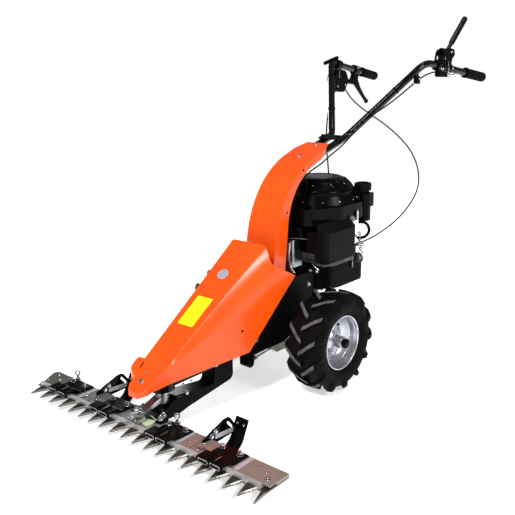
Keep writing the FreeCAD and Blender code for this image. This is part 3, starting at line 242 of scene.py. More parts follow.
def makeFinish(name, ownLook):
    look = {**plainLook, **ownLook}
    material = bpy.data.materials.new(name)
    material.use_nodes = True
    tree = material.node_tree
    surface = tree.nodes["Principled BSDF"].inputs
    surface["Metallic"].default_value = look["metal"]
    surface["Coat Weight"].default_value = look["coat"]
    surface["Coat Roughness"].default_value = 0.12
    surface["Specular IOR Level"].default_value = look["glint"]
    place = tree.nodes.new("ShaderNodeTexCoord").outputs["Object"]
    stretched = addStep(tree, "Mapping", {"Vector": place}, {"Scale": look["stretch"]})
    patches = addStep(tree, "TexNoise", {"Vector": place}, {**patchNoise, "Scale": look["patch"]})
    grain = addStep(tree, "TexNoise", {"Vector": stretched}, {**grainNoise, "Scale": look["grain"]})

    # broad, uneven tone, then worn edges where the rounded normal turns
    spread = addStep(tree, "MapRange", {"Value": patches}, toneSpan)
    tone = addStep(tree, "Mix", {0: spread}, {1: paint(look["colour"]), 2: paint(look["shade"])})
    rounded = addStep(tree, "Bevel", values={"Radius": look["soft"] * 2.2})
    facing = tree.nodes.new("ShaderNodeNewGeometry").outputs["Normal"]
    turn = addStep(tree, "VectorMath", {0: rounded, 1: facing}, mode="DOT_PRODUCT")
    edge = addStep(tree, "MapRange", {"Value": turn}, {**edgeSpan, "To Max": look["wear"]})
    rubbed = addStep(tree, "Math", {0: edge, 1: patches}, mode="MULTIPLY")
    worn = addStep(tree, "Mix", {0: rubbed, 1: tone}, {2: paint(look["edge"])})

    share = addStep(tree, "Math", {0: patches}, {1: 0.65}, "MULTIPLY")
    cloud = addStep(tree, "Math", {0: grain, 2: share}, {1: 0.35}, "MULTIPLY_ADD")
    low, high = look["rough"]
    gloss = addStep(tree, "MapRange", {"Value": cloud}, {**glossSpan, "To Min": low, "To Max": high})
    softEdge = addStep(tree, "Bevel", values={"Radius": look["soft"]})
    relief = {"Strength": 1.0, "Distance": look["depth"]}
    bump = addStep(tree, "Bump", {"Height": grain, "Normal": softEdge}, relief)
    tree.links.new([s for s in worn.outputs if s.enabled][0], surface["Base Color"])
    tree.links.new(gloss.outputs["Result"], surface["Roughness"])
    tree.links.new(bump.outputs["Normal"], surface["Normal"])
    return material


finishes = {name: makeFinish(name, look) for name, look in finishLooks.items()}

platingWithReflection = {
    "metal": 0.3,
    "cloud": {"Scale": 14.0, "Detail": 4.0, "Roughness": 0.55, "Distortion": 0.8},
    "span": {"From Min": -0.47, "From Max": 0.48, "To Min": -0.22, "To Max": 0.72},
    "tintsWithReflection": [  # along the bar, from its dark end to its pinkish-bronze end; the pinkish-bronze is partly the plating's tint and partly painted reflection of the orange hood
        (0.00, (0.085, 0.086, 0.078)), (0.28, (0.125, 0.128, 0.115)), (0.46, (0.200, 0.235, 0.235)),
        (0.58, (0.240, 0.225, 0.200)), (0.70, (0.250, 0.190, 0.168)), (0.84, (0.225, 0.195, 0.165)),
        (1.00, (0.250, 0.240, 0.200))],
}


def addPlatingWithReflection(name, settings):
    # passivated zinc: the tint drifts along the bar, broken up by cloudy patches; its pinkish-bronze part is
    # partly painted reflection of the orange hood
    material = makeFinish(name, {**finishLooks["zincSteel"], "metal": settings["metal"]})
    tree = material.node_tree
    place = tree.nodes["Texture Coordinate"].outputs["Object"]
    drift = addStep(tree, "TexNoise", {"Vector": place}, settings["cloud"])
    along = addStep(tree, "SeparateXYZ", {"Vector": place})
    span = addStep(tree, "MapRange", {"Value": along.outputs["X"]}, settings["span"])
    mixed = addStep(tree, "Math", {0: drift, 2: span}, {1: 0.5}, "MULTIPLY_ADD")
    ramp = addStep(tree, "ValToRGB", {"Fac": mixed})
    stops = ramp.color_ramp.elements
    while len(stops) < len(settings["tintsWithReflection"]):
        stops.new(0.5)
    for stop, (where, colour) in zip(stops, settings["tintsWithReflection"]):
        stop.position = where
        stop.color = (*colour, 1)
    tree.links.new(ramp.outputs["Color"], tree.nodes["Principled BSDF"].inputs["Base Color"])
    return material


finishes["platingWithPaintedReflection"] = addPlatingWithReflection("platingWithPaintedReflection", platingWithReflection)

cadFinish = {
    "orangePaint": ["hood", "column"],
    "barBlack": ["knife_holders", "boom", "boom_foot", "chassis"],
    "blackPaint": ["skid_plate_left", "skid_plate_right", "skid_shoe_left", "skid_shoe_right",
                   "handle_bridge", "handle_saddle", "clutch_bracket", "crank_housing", "engage_lug"],
    "tubePaint": ["handle_tube_left", "handle_tube_right", "clutch_lever"],
    "blackPlastic": ["engine_shroud", "recoil_cover", "fuel_tank", "fuel_cap", "throttle_housing",
                     "brake_lever", "speed_lever"],
    "engineCast": ["crankcase", "carburettor", "cable_clip"],
    "greyCast": ["oil_filler"],
    "filterShell": ["air_filter"],
    "gearCast": ["gearbox"],
    "mufflerSteel": ["muffler"],
    "zincSteel": ["knife_head", "skid_arm_left", "skid_arm_right", "engage_rod", "drive_arm"],
    "railSteel": ["knife_rail"],
    "platingWithPaintedReflection": ["bar_plates", "bar_beam"],
    "bladeSteel": ["comb_strip", "comb_fingers", "knife_sections"],
    "chromeSteel": ["crank_shaft"],
    "axleSteel": ["axle_left", "axle_right"],
    "rimPaint": ["rim_left", "rim_right"],
    "tyreRubber": ["tyre_left", "tyre_right"],
    "gripRubber": ["grip_left", "grip_right"],
    "cableSheath": ["throttle_cable", "stop_cable", "clutch_cable"],
}
for finishName, nodeNames in cadFinish.items():
    for nodeName in nodeNames:
        for place in nodes[nodeName].material_slots:
            place.material = finishes[finishName]
print("finishes on", sum(len(names) for names in cadFinish.values()), "nodes")


# cables

cableRoutes = {
    "throttle": dict(node="throttle_cable", length=0.966, diameter=0.005, points=[
        (-0.172, 0.606, 0.906), (-0.158, 0.620, 0.868), (-0.122, 0.640, 0.828), (-0.076, 0.664, 0.792),
        (-0.031, 0.692, 0.757), (0.022, 0.714, 0.709), (0.063, 0.726, 0.662), (0.097, 0.722, 0.604),
        (0.122, 0.690, 0.552), (0.139, 0.636, 0.516), (0.150, 0.575, 0.489), (0.160, 0.505, 0.465),
        (0.162, 0.436, 0.444), (0.160, 0.368, 0.427), (0.154, 0.300, 0.413), (0.144, 0.252, 0.407)]),
    "stop": dict(node="stop_cable", length=0.406, diameter=0.005, points=[
        (-0.160, 0.539, 0.893), (-0.146, 0.512, 0.874), (-0.126, 0.468, 0.855), (-0.106, 0.424, 0.826),
        (-0.084, 0.384, 0.794), (-0.062, 0.350, 0.756), (-0.042, 0.324, 0.712), (-0.026, 0.309, 0.668),
        (-0.017, 0.304, 0.622)]),
    "clutch": dict(node="clutch_cable", length=1.066, diameter=0.005, points=[
        (0.199, 0.6237, 0.955), (0.196, 0.580, 0.951), (0.190, 0.537, 0.935), (0.178, 0.500, 0.912),
        (0.160, 0.456, 0.880), (0.138, 0.414, 0.850), (0.112, 0.372, 0.822), (0.084, 0.334, 0.788),
        (0.052, 0.300, 0.730), (0.018, 0.262, 0.690), (0.008, 0.222, 0.664), (0.000, 0.176, 0.646),
        (-0.004, 0.130, 0.622), (-0.006, 0.086, 0.600), (-0.004, 0.045, 0.568), (-0.002, 0.014, 0.520),
        (0.000, -0.012, 0.468), (0.002, -0.028, 0.412), (0.002, -0.036, 0.354), (0.000, -0.040, 0.306),
        (-0.002, -0.041, 0.273)]),
}


def addCable(name, route):
    curve = bpy.data.curves.new(name + "Cable", "CURVE")
    curve.dimensions = "3D"
    curve.bevel_depth = route["diameter"] / 2
    curve.bevel_resolution = 4
    curve.resolution_u = 10
    curve.use_fill_caps = True
    line = curve.splines.new("NURBS")
    line.points.add(len(route["points"]) - 1)
    for spot, point in zip(line.points, route["points"]):
        spot.co = (*point, 1)
    line.order_u = 3
    line.use_endpoint_u = True
    cable = bpy.data.objects.new(name + "Cable", curve)
    bpy.context.scene.collection.objects.link(cable)
    curve.materials.append(finishes["cableSheath"])
    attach(cable, "main")
    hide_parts(route["node"])


for name, route in cableRoutes.items():
    addCable(name, route)
print("cables laid:", ", ".join(cableRoutes))


# mesh making

hexCorner = 1.1547  # a hexagon's width over its corners, as a share of that over its flats


def turnsOf(count, lead=0.0):
    # equal steps round a full turn, in radians
    return [2 * math.pi * i / count + lead for i in range(count)]


def sweepOf(a, middle, b, steps):
    # points along a soft bend from a to b, drawn towards the middle point
    return [a * (1 - t) ** 2 + middle * 2 * t * (1 - t) + b * t * t for t in steps]


def standOn(at, direction, lean=None):
    # a frame whose z runs along the direction
    z = Vector(direction).normalized()
    helper = Vector(lean) if lean else (Vector((0, 0, 1)) if abs(z.z) < 0.9 else Vector((0, 1, 0)))
    x = helper.cross(z).normalized()
    return Matrix.Translation(at) @ Matrix((x, z.cross(x), z)).transposed().to_4x4()


def addRings(shape, rings, closedPath=False, paint=0):
    # quads between successive rings of points; a ring of one point is a pole
    made = [[shape.verts.new(p) for p in ring] for ring in rings]
    pairs = list(zip(made, made[1:])) + ([(made[-1], made[0])] if closedPath else [])
    for low, high in pairs:
        count = max(len(low), len(high))
        for i in range(count):
            j = (i + 1) % count
            corners = [low[i % len(low)], low[j % len(low)], high[j % len(high)], high[i % len(high)]]
            shape.faces.new(list(dict.fromkeys(corners))).material_index = paint
    for ring in [] if closedPath else (made[0], made[-1]):
        if len(ring) > 2:
            shape.faces.new(ring).material_index = paint


def addLathe(shape, place, profile, segments=32, closedPath=False, paint=0):
    # profile of (radius, height) turned about the frame's z
    rings = []
    for radius, height in profile:
        turns = turnsOf(segments) if radius > 1e-6 else [0]
        rings.append([place @ Vector((radius * math.cos(t), radius * math.sin(t), height)) for t in turns])
    addRings(shape, rings, closedPath, paint)


def addSlab(shape, place, outline, depth, sink=0.0):
    # flat outline in the frame's xy, given a thickness along z
    addRings(shape, [[place @ Vector((x, y, z)) for x, y in outline] for z in (-sink, depth)])


def addBlock(shape, low, high):
    outline = [(low[0], low[1]), (high[0], low[1]), (high[0], high[1]), (low[0], high[1])]
    addSlab(shape, Matrix.Translation((0, 0, low[2])), outline, high[2] - low[2])


def roundedOutline(width, height, radius, steps=5):
    spots = []
    for cx, cy, start in ((1, 1, 0), (-1, 1, 90), (-1, -1, 180), (1, -1, 270)):
        for i in range(steps + 1):
            t = math.radians(start + 90 * i / steps)
            x = cx * (width / 2 - radius) + radius * math.cos(t)
            spots.append((x, cy * (height / 2 - radius) + radius * math.sin(t)))
    return spots


def addPipe(shape, path, radius, sides=10, closedPath=False, paint=0):
    # a round bar along the path; radius is one number or one for each point
    spots = [Vector(p) for p in path]
    radii = radius if isinstance(radius, (list, tuple)) else [radius] * len(spots)
    rings, across = [], None
    for i, spot in enumerate(spots):
        before = spots[i - 1] if i or closedPath else spot
        after = spots[(i + 1) % len(spots)] if i + 1 < len(spots) or closedPath else spot
        ahead = (after - before).normalized()
        if across is None:
            across = ahead.orthogonal().normalized()
        across = (across - ahead * across.dot(ahead)).normalized()
        over = ahead.cross(across)
        rings.append([spot + (across * math.cos(t) + over * math.sin(t)) * radii[i] for t in turnsOf(sides)])
    addRings(shape, rings, closedPath, paint)


def addBolt(shape, at, direction, across, washer=True, stud=0.0, turn=0.0):
    # hexagon head on a washer, and the thread's end where one stands proud
    place = standOn(at, direction) @ Matrix.Rotation(turn, 4, "Z")
    half, tall, base, pitch = across / 2 * hexCorner, across * 0.52, 0.0, across * 0.12
    if washer:
        base = pitch
        ring = across * 0.74
        seat = [(0, -base), (ring, -base), (ring, base * 0.7), (ring * 0.94, base), (0, base)]
        addLathe(shape, place, seat, 24)
    head = [(0, base), (half, base), (half, base + tall * 0.86), (half * 0.9, base + tall), (0, base + tall)]
    addLathe(shape, place, head, 6)
    if stud:
        thread = [(0, base + tall * 0.8)]
        for i in range(int(stud / pitch)):
            z = base + tall + i * across * 0.12
            thread += [(across * 0.29, z), (across * 0.25, z + across * 0.06)]
        thread += [(across * 0.2, base + tall + stud), (0, base + tall + stud)]
        addLathe(shape, place, thread, 14)


def addScrew(shape, at, direction, radius, tall, paint=0):
    # round head with a dished socket
    place = standOn(at, direction)
    head = [(0, -0.001), (radius, -0.001), (radius, tall * 0.4), (radius * 0.8, tall), (radius * 0.42, tall),
            (radius * 0.36, tall * 0.35), (0, tall * 0.3)]
    addLathe(shape, place, head, 18, paint=paint)


def addSpring(shape, start, end, radius, wire, turns):
    run, steps = Vector(end) - Vector(start), turns * 12
    place = standOn(start, run)
    path = []
    for i in range(steps + 1):
        t = i / 12 * 2 * math.pi
        path.append(place @ Vector((radius * math.cos(t), radius * math.sin(t), run.length * i / steps)))
    addPipe(shape, path, wire, 6)


def makePiece(name, shape, looks, body, rounding=0.0, sharp=38.0):
    bmesh.ops.recalc_face_normals(shape, faces=shape.faces)
    for face in shape.faces:
        face.smooth = True
    for edge in shape.edges:
        if len(edge.link_faces) == 2:
            edge.smooth = edge.calc_face_angle(0) < math.radians(sharp)
    mesh = bpy.data.meshes.new(name)
    shape.to_mesh(mesh)
    shape.free()
    for look in looks:
        mesh.materials.append(finishes[look])
    piece = bpy.data.objects.new(name, mesh)
    bpy.context.scene.collection.objects.link(piece)
    if rounding:
        soften = piece.modifiers.new("soften", "BEVEL")
        soften.width = rounding
        soften.segments = 2
        soften.limit_method = "ANGLE"
        soften.angle_limit = math.radians(sharp)
        soften.use_clamp_overlap = True
    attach(piece, body)
    return piece


def skinOf(*names):
    # the named nodes' surfaces, for standing fastenings on them
    spots, faces = [], []
    for name in names:
        mesh = nodes[name].data
        start = len(spots)
        spots += [v.co.copy() for v in mesh.vertices]
        faces += [[start + i for i in f.vertices] for f in mesh.polygons]
    return BVHTree.FromPolygons(spots, faces)


def touch(skin, start, direction):
    spot, normal = skin.ray_cast(Vector(start), Vector(direction).normalized())[:2]
    if spot is None:
        spot, normal = skin.find_nearest(Vector(start) + Vector(direction).normalized() * 0.1)[:2]
        print("nearest skin taken beside", [round(c, 3) for c in start])
    return spot, (normal if normal.dot(Vector(direction)) < 0 else -normal)


def dropOn(skin, x, y, height=0.3):
    return touch(skin, (x, y, height), (0, 0, -1))


def pressOn(skin, side, reach, y, z):
    # from the machine's left or right side towards its middle
    return touch(skin, (side * reach, y, z), (-side, 0, 0))


# wheels

tyre = {
    "lugs": 13,
    "lead": 0.33,  # how far a lug turns round the tyre from its middle end to its shoulder, in radians
    "lugBase": 0.0112,
    "lugTop": 0.0070,
    "lugReach": 0.055,  # the distance across over which a lug takes its whole lead
    "lugRoot": 0.003,  # how far a lug's foot is sunk in the carcass
    "sidewall": [(0.0785, 0.0405), (0.0850, 0.0450), (0.0885, 0.0490), (0.0915, 0.0532), (0.0945, 0.0546),
                 (0.0995, 0.0580), (0.1090, 0.0608), (0.1190, 0.0618), (0.1285, 0.0604), (0.1362, 0.0562),
                 (0.1412, 0.0480), (0.1442, 0.0350), (0.1454, 0.0180)],
    "crown": 0.1456,
    "liner": [(0.0785, 0.0340), (0.0950, 0.0400), (0.1120, 0.0500), (0.1240, 0.0500), (0.1330, 0.0400)],
    "linerCrown": 0.139,
    "rubbed": 0.1535,  # lug faces beyond this radius show the worn, paler rubber
    # across, radius, outward direction, height, share of the full width
    "lugRun": [(-0.0040, 0.1454, 0.00, 1.00, 0.0144, 0.96), (0.0120, 0.1454, 0.00, 1.00, 0.0146, 0.98),
               (0.0300, 0.1444, 0.05, 1.00, 0.0150, 1.00), (0.0470, 0.1414, 0.26, 0.97, 0.0148, 1.04),
               (0.0560, 0.1360, 0.62, 0.78, 0.0112, 1.10), (0.0602, 0.1280, 0.92, 0.40, 0.0062, 1.10),
               (0.0616, 0.1190, 0.99, 0.10, 0.0018, 0.95)],
}


def addLug(shape, centre, side, start):
    rings = []
    for across, radius, outX, outR, height, share in tyre["lugRun"]:
        angle = start + tyre["lead"] * max(across, 0) / tyre["lugReach"]
        ahead = Vector((0, math.sin(angle), math.cos(angle)))
        radial = Vector((0, -math.cos(angle), math.sin(angle)))
        out = (Vector((side, 0, 0)) * outX + radial * outR).normalized()
        spot = centre + Vector((side * across, 0, 0)) + radial * radius
        base, top, root = tyre["lugBase"] * share, tyre["lugTop"] * share, out * tyre["lugRoot"]
        rings.append([spot - ahead * base - root, spot - ahead * top + out * height,
                      spot + ahead * top + out * height, spot + ahead * base - root])
    first = len(shape.faces)
    addRings(shape, rings)
    shape.faces.ensure_lookup_table()
    for face in shape.faces[first:]:
        reach = min(math.hypot(v.co.y - centre.y, v.co.z - centre.z) for v in face.verts)
        if reach > tyre["rubbed"]:
            face.material_index = 1


def wheelSection(outside, crown, inside, insideCrown):
    # a closed section, (radius, across): over the outside, then back along the inside
    back = inside[::-1]
    return (outside + [(crown, 0.0)] + [(r, -x) for r, x in reversed(outside)]
            + [(r, -x) for r, x in inside] + [(insideCrown, 0.0)] + back)


def addTyre(side, name, body):
    low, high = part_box("tyre_" + name)
    centre = (low + high) / 2
    shape = bmesh.new()
    ring = wheelSection(tyre["sidewall"], tyre["crown"], tyre["liner"], tyre["linerCrown"])
    addLathe(shape, standOn(centre, (side, 0, 0)), ring, 96, closedPath=True)
    step = 2 * math.pi / tyre["lugs"]
    for i in range(tyre["lugs"]):
        addLug(shape, centre, side, i * step)
        addLug(shape, centre, -side, (i + 0.5) * step)
    piece = makePiece(name + "Tyre", shape, ["tyreRubber", "lugRubber"], body, 0.0013, 42)
    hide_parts("tyre_" + name)


rim = {
    "barrel": [(0.0858, 0.0470), (0.0866, 0.0492), (0.0858, 0.0508), (0.0838, 0.0512), (0.0818, 0.0498),
               (0.0804, 0.0462), (0.0806, 0.0440), (0.0792, 0.0425), (0.0776, 0.0400), (0.0764, 0.0360),
               (0.0754, 0.0260)],
    "crown": 0.0750,
    "disc": [(0.0196, 0.0200), (0.0196, 0.0262), (0.0226, 0.0262), (0.0250, 0.0214), (0.0300, 0.0180),
             (0.0345, 0.0140), (0.0410, 0.0075), (0.0500, 0.0030), (0.0580, 0.0040), (0.0650, 0.0105),
             (0.0708, 0.0190), (0.0752, 0.0250), (0.0754, 0.0215), (0.0712, 0.0160), (0.0655, 0.0075),
             (0.0584, 0.0008), (0.0500, -0.0008), (0.0400, 0.0035), (0.0330, 0.0100), (0.0250, 0.0140),
             (0.0196, 0.0140)],
    "bolts": 5,
    "boltCircle": 0.0465,
    "boltSeat": 0.0042,
    "boltAcross": 0.0085,
    "boltLead": 0.5,
    "back": [(0.0842, 0.0480), (0.0816, 0.0430), (0.0790, 0.0380), (0.0776, 0.0180)],
    "backCrown": 0.0774,
    "valve": (0.0, 0.0625, 0.0060),
    "valveStem": [(0, -0.004), (0.0042, -0.004), (0.0042, 0.004), (0.0030, 0.006), (0.0030, 0.019),
                  (0.0036, 0.020), (0.0036, 0.028), (0.0026, 0.030), (0, 0.030)],
}


hubCap = {
    "across": 0.0262,
    "tall": 0.0175,
    "washer": 0.0182,
    "axle": [(0.0, -0.161), (0.0112, -0.161), (0.0125, -0.1597), (0.0125, -0.023), (0.0200, -0.023),
             (0.0200, -0.011), (0.0220, -0.011), (0.0220, 0.027), (0.0190, 0.027), (0.0190, 0.0490),
             (0.0180, 0.0500), (0.0, 0.0500)],
}


def addRim(side, name, body):
    low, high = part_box("tyre_" + name)
    centre = (low + high) / 2
    place = standOn(centre, (side, 0, 0))
    shape = bmesh.new()
    ring = wheelSection(rim["barrel"], rim["crown"], rim["back"], rim["backCrown"])
    addLathe(shape, place, ring, 96, closedPath=True)
    addLathe(shape, place, rim["disc"], 96, closedPath=True)
    piece = makePiece(name + "Rim", shape, ["rimPaint"], body, 0.0, 50)
    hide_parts("rim_" + name)

    shape = bmesh.new()
    circle = rim["boltCircle"]
    for turn in turnsOf(rim["bolts"], rim["boltLead"]):
        spot = place @ Vector((circle * math.cos(turn), circle * math.sin(turn), rim["boltSeat"]))
        addBolt(shape, spot, (side, 0, 0), rim["boltAcross"], turn=turn)
    makePiece(name + "RimBolts", shape, ["zincSteel"], body, 0.0004)

    shape = bmesh.new()  # filling valve through the dish, leaning towards the axle
    valve = place @ Vector(rim["valve"])
    lean = Vector((side, 0, 0)) - (valve - centre).normalized() * 0.25
    addLathe(shape, standOn(valve, lean), rim["valveStem"], 16)
    makePiece(name + "Valve", shape, ["gripRubber"], body)

    shape = bmesh.new()  # stub axle: shaft, collar, hub and the boss outside the dish
    addLathe(shape, place, hubCap["axle"], 48)
    piece = makePiece(name + "Axle", shape, ["axleSteel"], body, 0.0, 50)
    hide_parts("axle_" + name)

    shape = bmesh.new()  # hexagon hub cap over the shaft's end, on its thin washer
    top = abs(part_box("axle_" + name)[1 if side > 0 else 0].x) - abs(centre.x)
    seat = top - hubCap["tall"]
    wide = hubCap["washer"]
    washer = [(0, seat - 0.0012), (wide, seat - 0.0012), (wide, seat + 0.0008), (wide - 0.001, seat + 0.0014),
              (0, seat + 0.0014)]
    addLathe(shape, place, washer, paint=1)
    half = hubCap["across"] / 2 * hexCorner
    nut = [(0, seat + 0.001), (half, seat + 0.001), (half, top - 0.003), (half * 0.9, top - 0.0006),
           (half * 0.62, top + 0.0012), (0, top + 0.0018)]
    addLathe(shape, place, nut, 6)
    makePiece(name + "HubCap", shape, ["blackPaint", "zincSteel"], body, 0.0008)


for side, name in ((1, "left"), (-1, "right")):
    addTyre(side, name, "wheel_" + name)
    addRim(side, name, "wheel_" + name)
print("wheels built")


# cutter bar

cutter = {
    "pitch": 0.0468,
    "first": -0.400,
    "count": 19,
    "root": -0.632,
    "tip": -0.683,
    "rootHalf": 0.0200,
    "tipHalf": 0.0016,
    "knifeLow": 0.0409,
    "knifeHigh": 0.0444,
    "combLow": 0.0360,
    "combHigh": 0.0405,
    "bevel": 0.0050,
    "outerBevel": 0.003,
    "outerFinger": [(0.4692, -0.632), (0.4862, -0.679), (0.4922, -0.679), (0.4850, -0.632)],
}


def addTooth(shape, outline, low, high, inset, upper):
    # outline from the left root round the tip to the right root; both flanks and the tip are ground
    a, b, c, d = full = [Vector((x, y, 0)) for x, y in outline]
    middle = (a + d) / 2
    tip = (b + c) / 2
    reach = max(0.0, 1 - inset * 1.5 / (tip - middle).length)
    width = 1 - 2 * inset / (d - a).length
    inner = [middle + (a - middle) * width, middle + (tip - middle) * reach + (b - c) * 0.2,
             middle + (tip - middle) * reach - (b - c) * 0.2, middle + (d - middle) * width]
    narrow, wide = (high, low) if upper else (low, high)
    land = narrow + (wide - narrow) * 0.72
    top, edge, base = [[shape.verts.new((p.x, p.y, z)) for p in ring]
                       for ring, z in ((inner, narrow), (full, land), (full, wide))]
    shape.faces.new(top)
    shape.faces.new(base)
    for i in range(4):
        j = (i + 1) % 4
        shape.faces.new([top[i], top[j], edge[j], edge[i]]).material_index = int(i < 3)
        shape.faces.new([edge[i], edge[j], base[j], base[i]])


def addTeeth(settings):
    knife, comb = bmesh.new(), bmesh.new()
    low, high, bevel = settings["combLow"], settings["combHigh"], settings["bevel"]
    for i in range(settings["count"]):
        x = settings["first"] + settings["pitch"] * i
        outline = [(x - settings["rootHalf"], settings["root"]), (x - settings["tipHalf"], settings["tip"]),
                   (x + settings["tipHalf"], settings["tip"]), (x + settings["rootHalf"], settings["root"])]
        addTooth(knife, outline, settings["knifeLow"], settings["knifeHigh"], bevel, True)
        addTooth(comb, outline, low, high, bevel * 0.5, False)
    addTooth(comb, settings["outerFinger"], low, high, settings["outerBevel"], True)
    piece = makePiece("knifeTeeth", knife, ["bladeSteel", "groundSteelAndHighlight"], "knife")
    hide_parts("knife_sections")
    piece = makePiece("combTeeth", comb, ["bladeSteel", "groundSteelAndHighlight"], "main")
    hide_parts("comb_fingers")


addTeeth(cutter)

barTop = skinOf("knife_holders", "bar_plates", "bar_beam", "comb_strip", "boom_foot")

barFastenings = {
    "holders": [-0.315, -0.119, 0.119, 0.315],
    # across, stud, places
    "large": (0.0130, 0.004, [(-0.349, -0.566), (-0.290, -0.566), (-0.156, -0.566), (-0.094, -0.566),
                              (0.087, -0.566), (0.147, -0.563), (0.281, -0.562), (0.342, -0.562)]),
    "middle": (0.0095, 0.002, [(-0.424, -0.607), (0.461, -0.596), (-0.191, -0.600), (0.230, -0.598),
                               (0.246, -0.597), (-0.178, -0.600)]),
    "rivets": (0.0050, 0.0018, [(-0.398, -0.581), (-0.245, -0.592), (-0.207, -0.578), (0.187, -0.588),
                                (0.224, -0.572), (0.412, -0.565), (-0.430, -0.560), (0.440, -0.575),
                                (0.0, -0.600)]),
    "eyes": [(-0.3475, -0.548), (0.099, -0.548)],
    "joins": [-0.254, 0.166, 0.372],
    "windowPlace": 0.0205,  # each opening's distance from the holder's middle
    "window": (0.0500, 0.0618, 0.0165, 0.0011),  # foot, head, half width and the width of the painted highlight on its folded edge
    "rib": (0.014, 0.0008, -0.640, -0.615),  # place beside the middle, half width, front and back
    "join": (0.0012, 0.0002),  # height and how far it is let in
}


eye = {
    "across": 0.012,
    "shank": (0.006, 0.017),
    "shankRadius": 0.0036,
    "reach": Vector((0.0062, 0.0035, 0)),
    "middle": Vector((0, 0, 0.0225)),
    "tall": Vector((0, 0, 0.0068)),
    "wire": 0.0024,
}


def addEye(shape, foot, settings):
    # eye bolt: flange nut, shank and a ring standing on it
    addBolt(shape, foot, (0, 0, 1), settings["across"])
    addPipe(shape, [foot + Vector((0, 0, z)) for z in settings["shank"]], settings["shankRadius"], 12)
    middle = foot + settings["middle"]
    ring = [middle + settings["reach"] * math.cos(t) + settings["tall"] * math.sin(t) for t in turnsOf(18)]
    addPipe(shape, ring, settings["wire"], closedPath=True)


def addWindowHighlight(shape, x, y, settings):
    # bright frame round an opening in a holder's front lip: painted highlight on the black lip's folded edge
    low, high, half, wire = settings["window"]
    for a, b in (((x - half, low), (x + half, low + wire)), ((x - half, high - wire), (x + half, high)),
                 ((x - half, low), (x - half + wire, high)), ((x + half - wire, low), (x + half, high))):
        addBlock(shape, (a[0], y - 0.0006, a[1]), (b[0], y + 0.0008, b[1]))


def addBarFastenings(settings):
    shape = bmesh.new()
    for across, stud, places in (settings["large"], settings["middle"]):
        for i, (x, y) in enumerate(places):
            addBolt(shape, dropOn(barTop, x, y)[0], (0, 0, 1), across, stud=stud, turn=i * 0.7)
    radius, tall, places = settings["rivets"]
    for x, y in places:
        addScrew(shape, dropOn(barTop, x, y)[0], (0, 0, 1), radius, tall)
    for x, y in settings["eyes"]:
        addEye(shape, dropOn(barTop, x, y)[0], eye)
    makePiece("barBolts", shape, ["chromeSteel"], "main", 0.0005)

    # bright ground-steel frames round the holders' openings are painted highlights on the black holders'
    # edges; a thin bright strip also runs along each holder's top
    shape = bmesh.new()
    low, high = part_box("knife_holders")
    beside, half, front, back = settings["rib"]
    for x in settings["holders"]:
        for side in (-1, 1):
            addWindowHighlight(shape, x + side * settings["windowPlace"], low.y, settings)
        rib = x + beside
        addBlock(shape, (rib - half, front, high.z - 0.001), (rib + half, back, high.z + 0.0004))
    makePiece("holderEdgeHighlights", shape, ["groundSteelAndHighlight"], "main")

    shape = bmesh.new()  # pale strips over the joins of the plates, where the plates' ends fold up: their paleness is painted highlight on those folded ends
    low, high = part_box("bar_plates")
    rise, sink = settings["join"]
    for x in settings["joins"]:
        outline = [(x - 0.0075, low.y + 0.004), (x + 0.0065, low.y + 0.004),
                   (x + 0.0050, high.y - 0.003), (x - 0.0085, high.y - 0.003)]
        addSlab(shape, Matrix.Translation((0, 0, high.z - sink)), outline, rise)
    makePiece("plateJoinHighlights", shape, ["paleStrip"], "main", 0.0003)


addBarFastenings(barFastenings)

tag = {
    "place": (0.024, -0.588, 0.0482),
    "width": 0.036,
    "long": 0.034,
    "turn": -0.25,
    "rise": 0.012,
    "bulge": 0.0012,
    "thick": 0.0004,
    "across": (-0.5, -0.25, 0.0, 0.25, 0.5),
    "along": 8,
}


def addTag(settings):
    # blank paper tag taped to the plate, its end curling up
    shape = bmesh.new()
    place = Matrix.Translation(settings["place"]) @ Matrix.Rotation(settings["turn"], 4, "Z")
    across, bulge = settings["across"], settings["bulge"]
    rings = []
    for i in range(settings["along"] + 1):
        v = i / settings["along"]
        z = settings["rise"] * max(0.0, v - 0.5) ** 2 * 3
        spots = [(u, z + bulge * (0.25 - u * u)) for u in across]
        spots += [(u, z + bulge * (0.25 - u * u) - settings["thick"]) for u in across[::-1]]
        y = (v - 0.5) * settings["long"]
        rings.append([place @ Vector((u * settings["width"], y, height)) for u, height in spots])
    addRings(shape, rings)
    makePiece("paperTag", shape, ["paleTag"], "main")


addTag(tag)

knifeDrive = {
    "bolt": (0.0, -0.602),
    "seat": (0.0, -0.598),  # where the arm's top is felt, clear of the bolt's hole
    "across": 0.0165,
    "screws": [(-0.0125, -0.621), (0.0125, -0.621)],
}


def addKnifeDrive(settings):
    shape = bmesh.new()
    spot, _ = dropOn(skinOf("drive_arm", "knife_head"), *settings["seat"])
    spot.x, spot.y = settings["bolt"]
    addBolt(shape, spot, (0, 0, 1), settings["across"], stud=0.004, turn=0.4)
    makePiece("armBolt", shape, ["chromeSteel"], "drive_arm", 0.0005)
    shape = bmesh.new()
    skin = skinOf("knife_head")
    for x, y in settings["screws"]:
        addScrew(shape, dropOn(skin, x, y)[0], (0, 0, 1), 0.0038, 0.0024)
    makePiece("headScrews", shape, ["chromeSteel"], "knife", 0.0004)


addKnifeDrive(knifeDrive)

footBolts = {
    "across": 0.0130,
    "foot": [(-0.050, -0.566), (0.050, -0.566), (-0.042, -0.548), (0.042, -0.548)],
    "housing": 5,
    "housingCircle": 0.0275,
    "housingAcross": 0.0075,
}


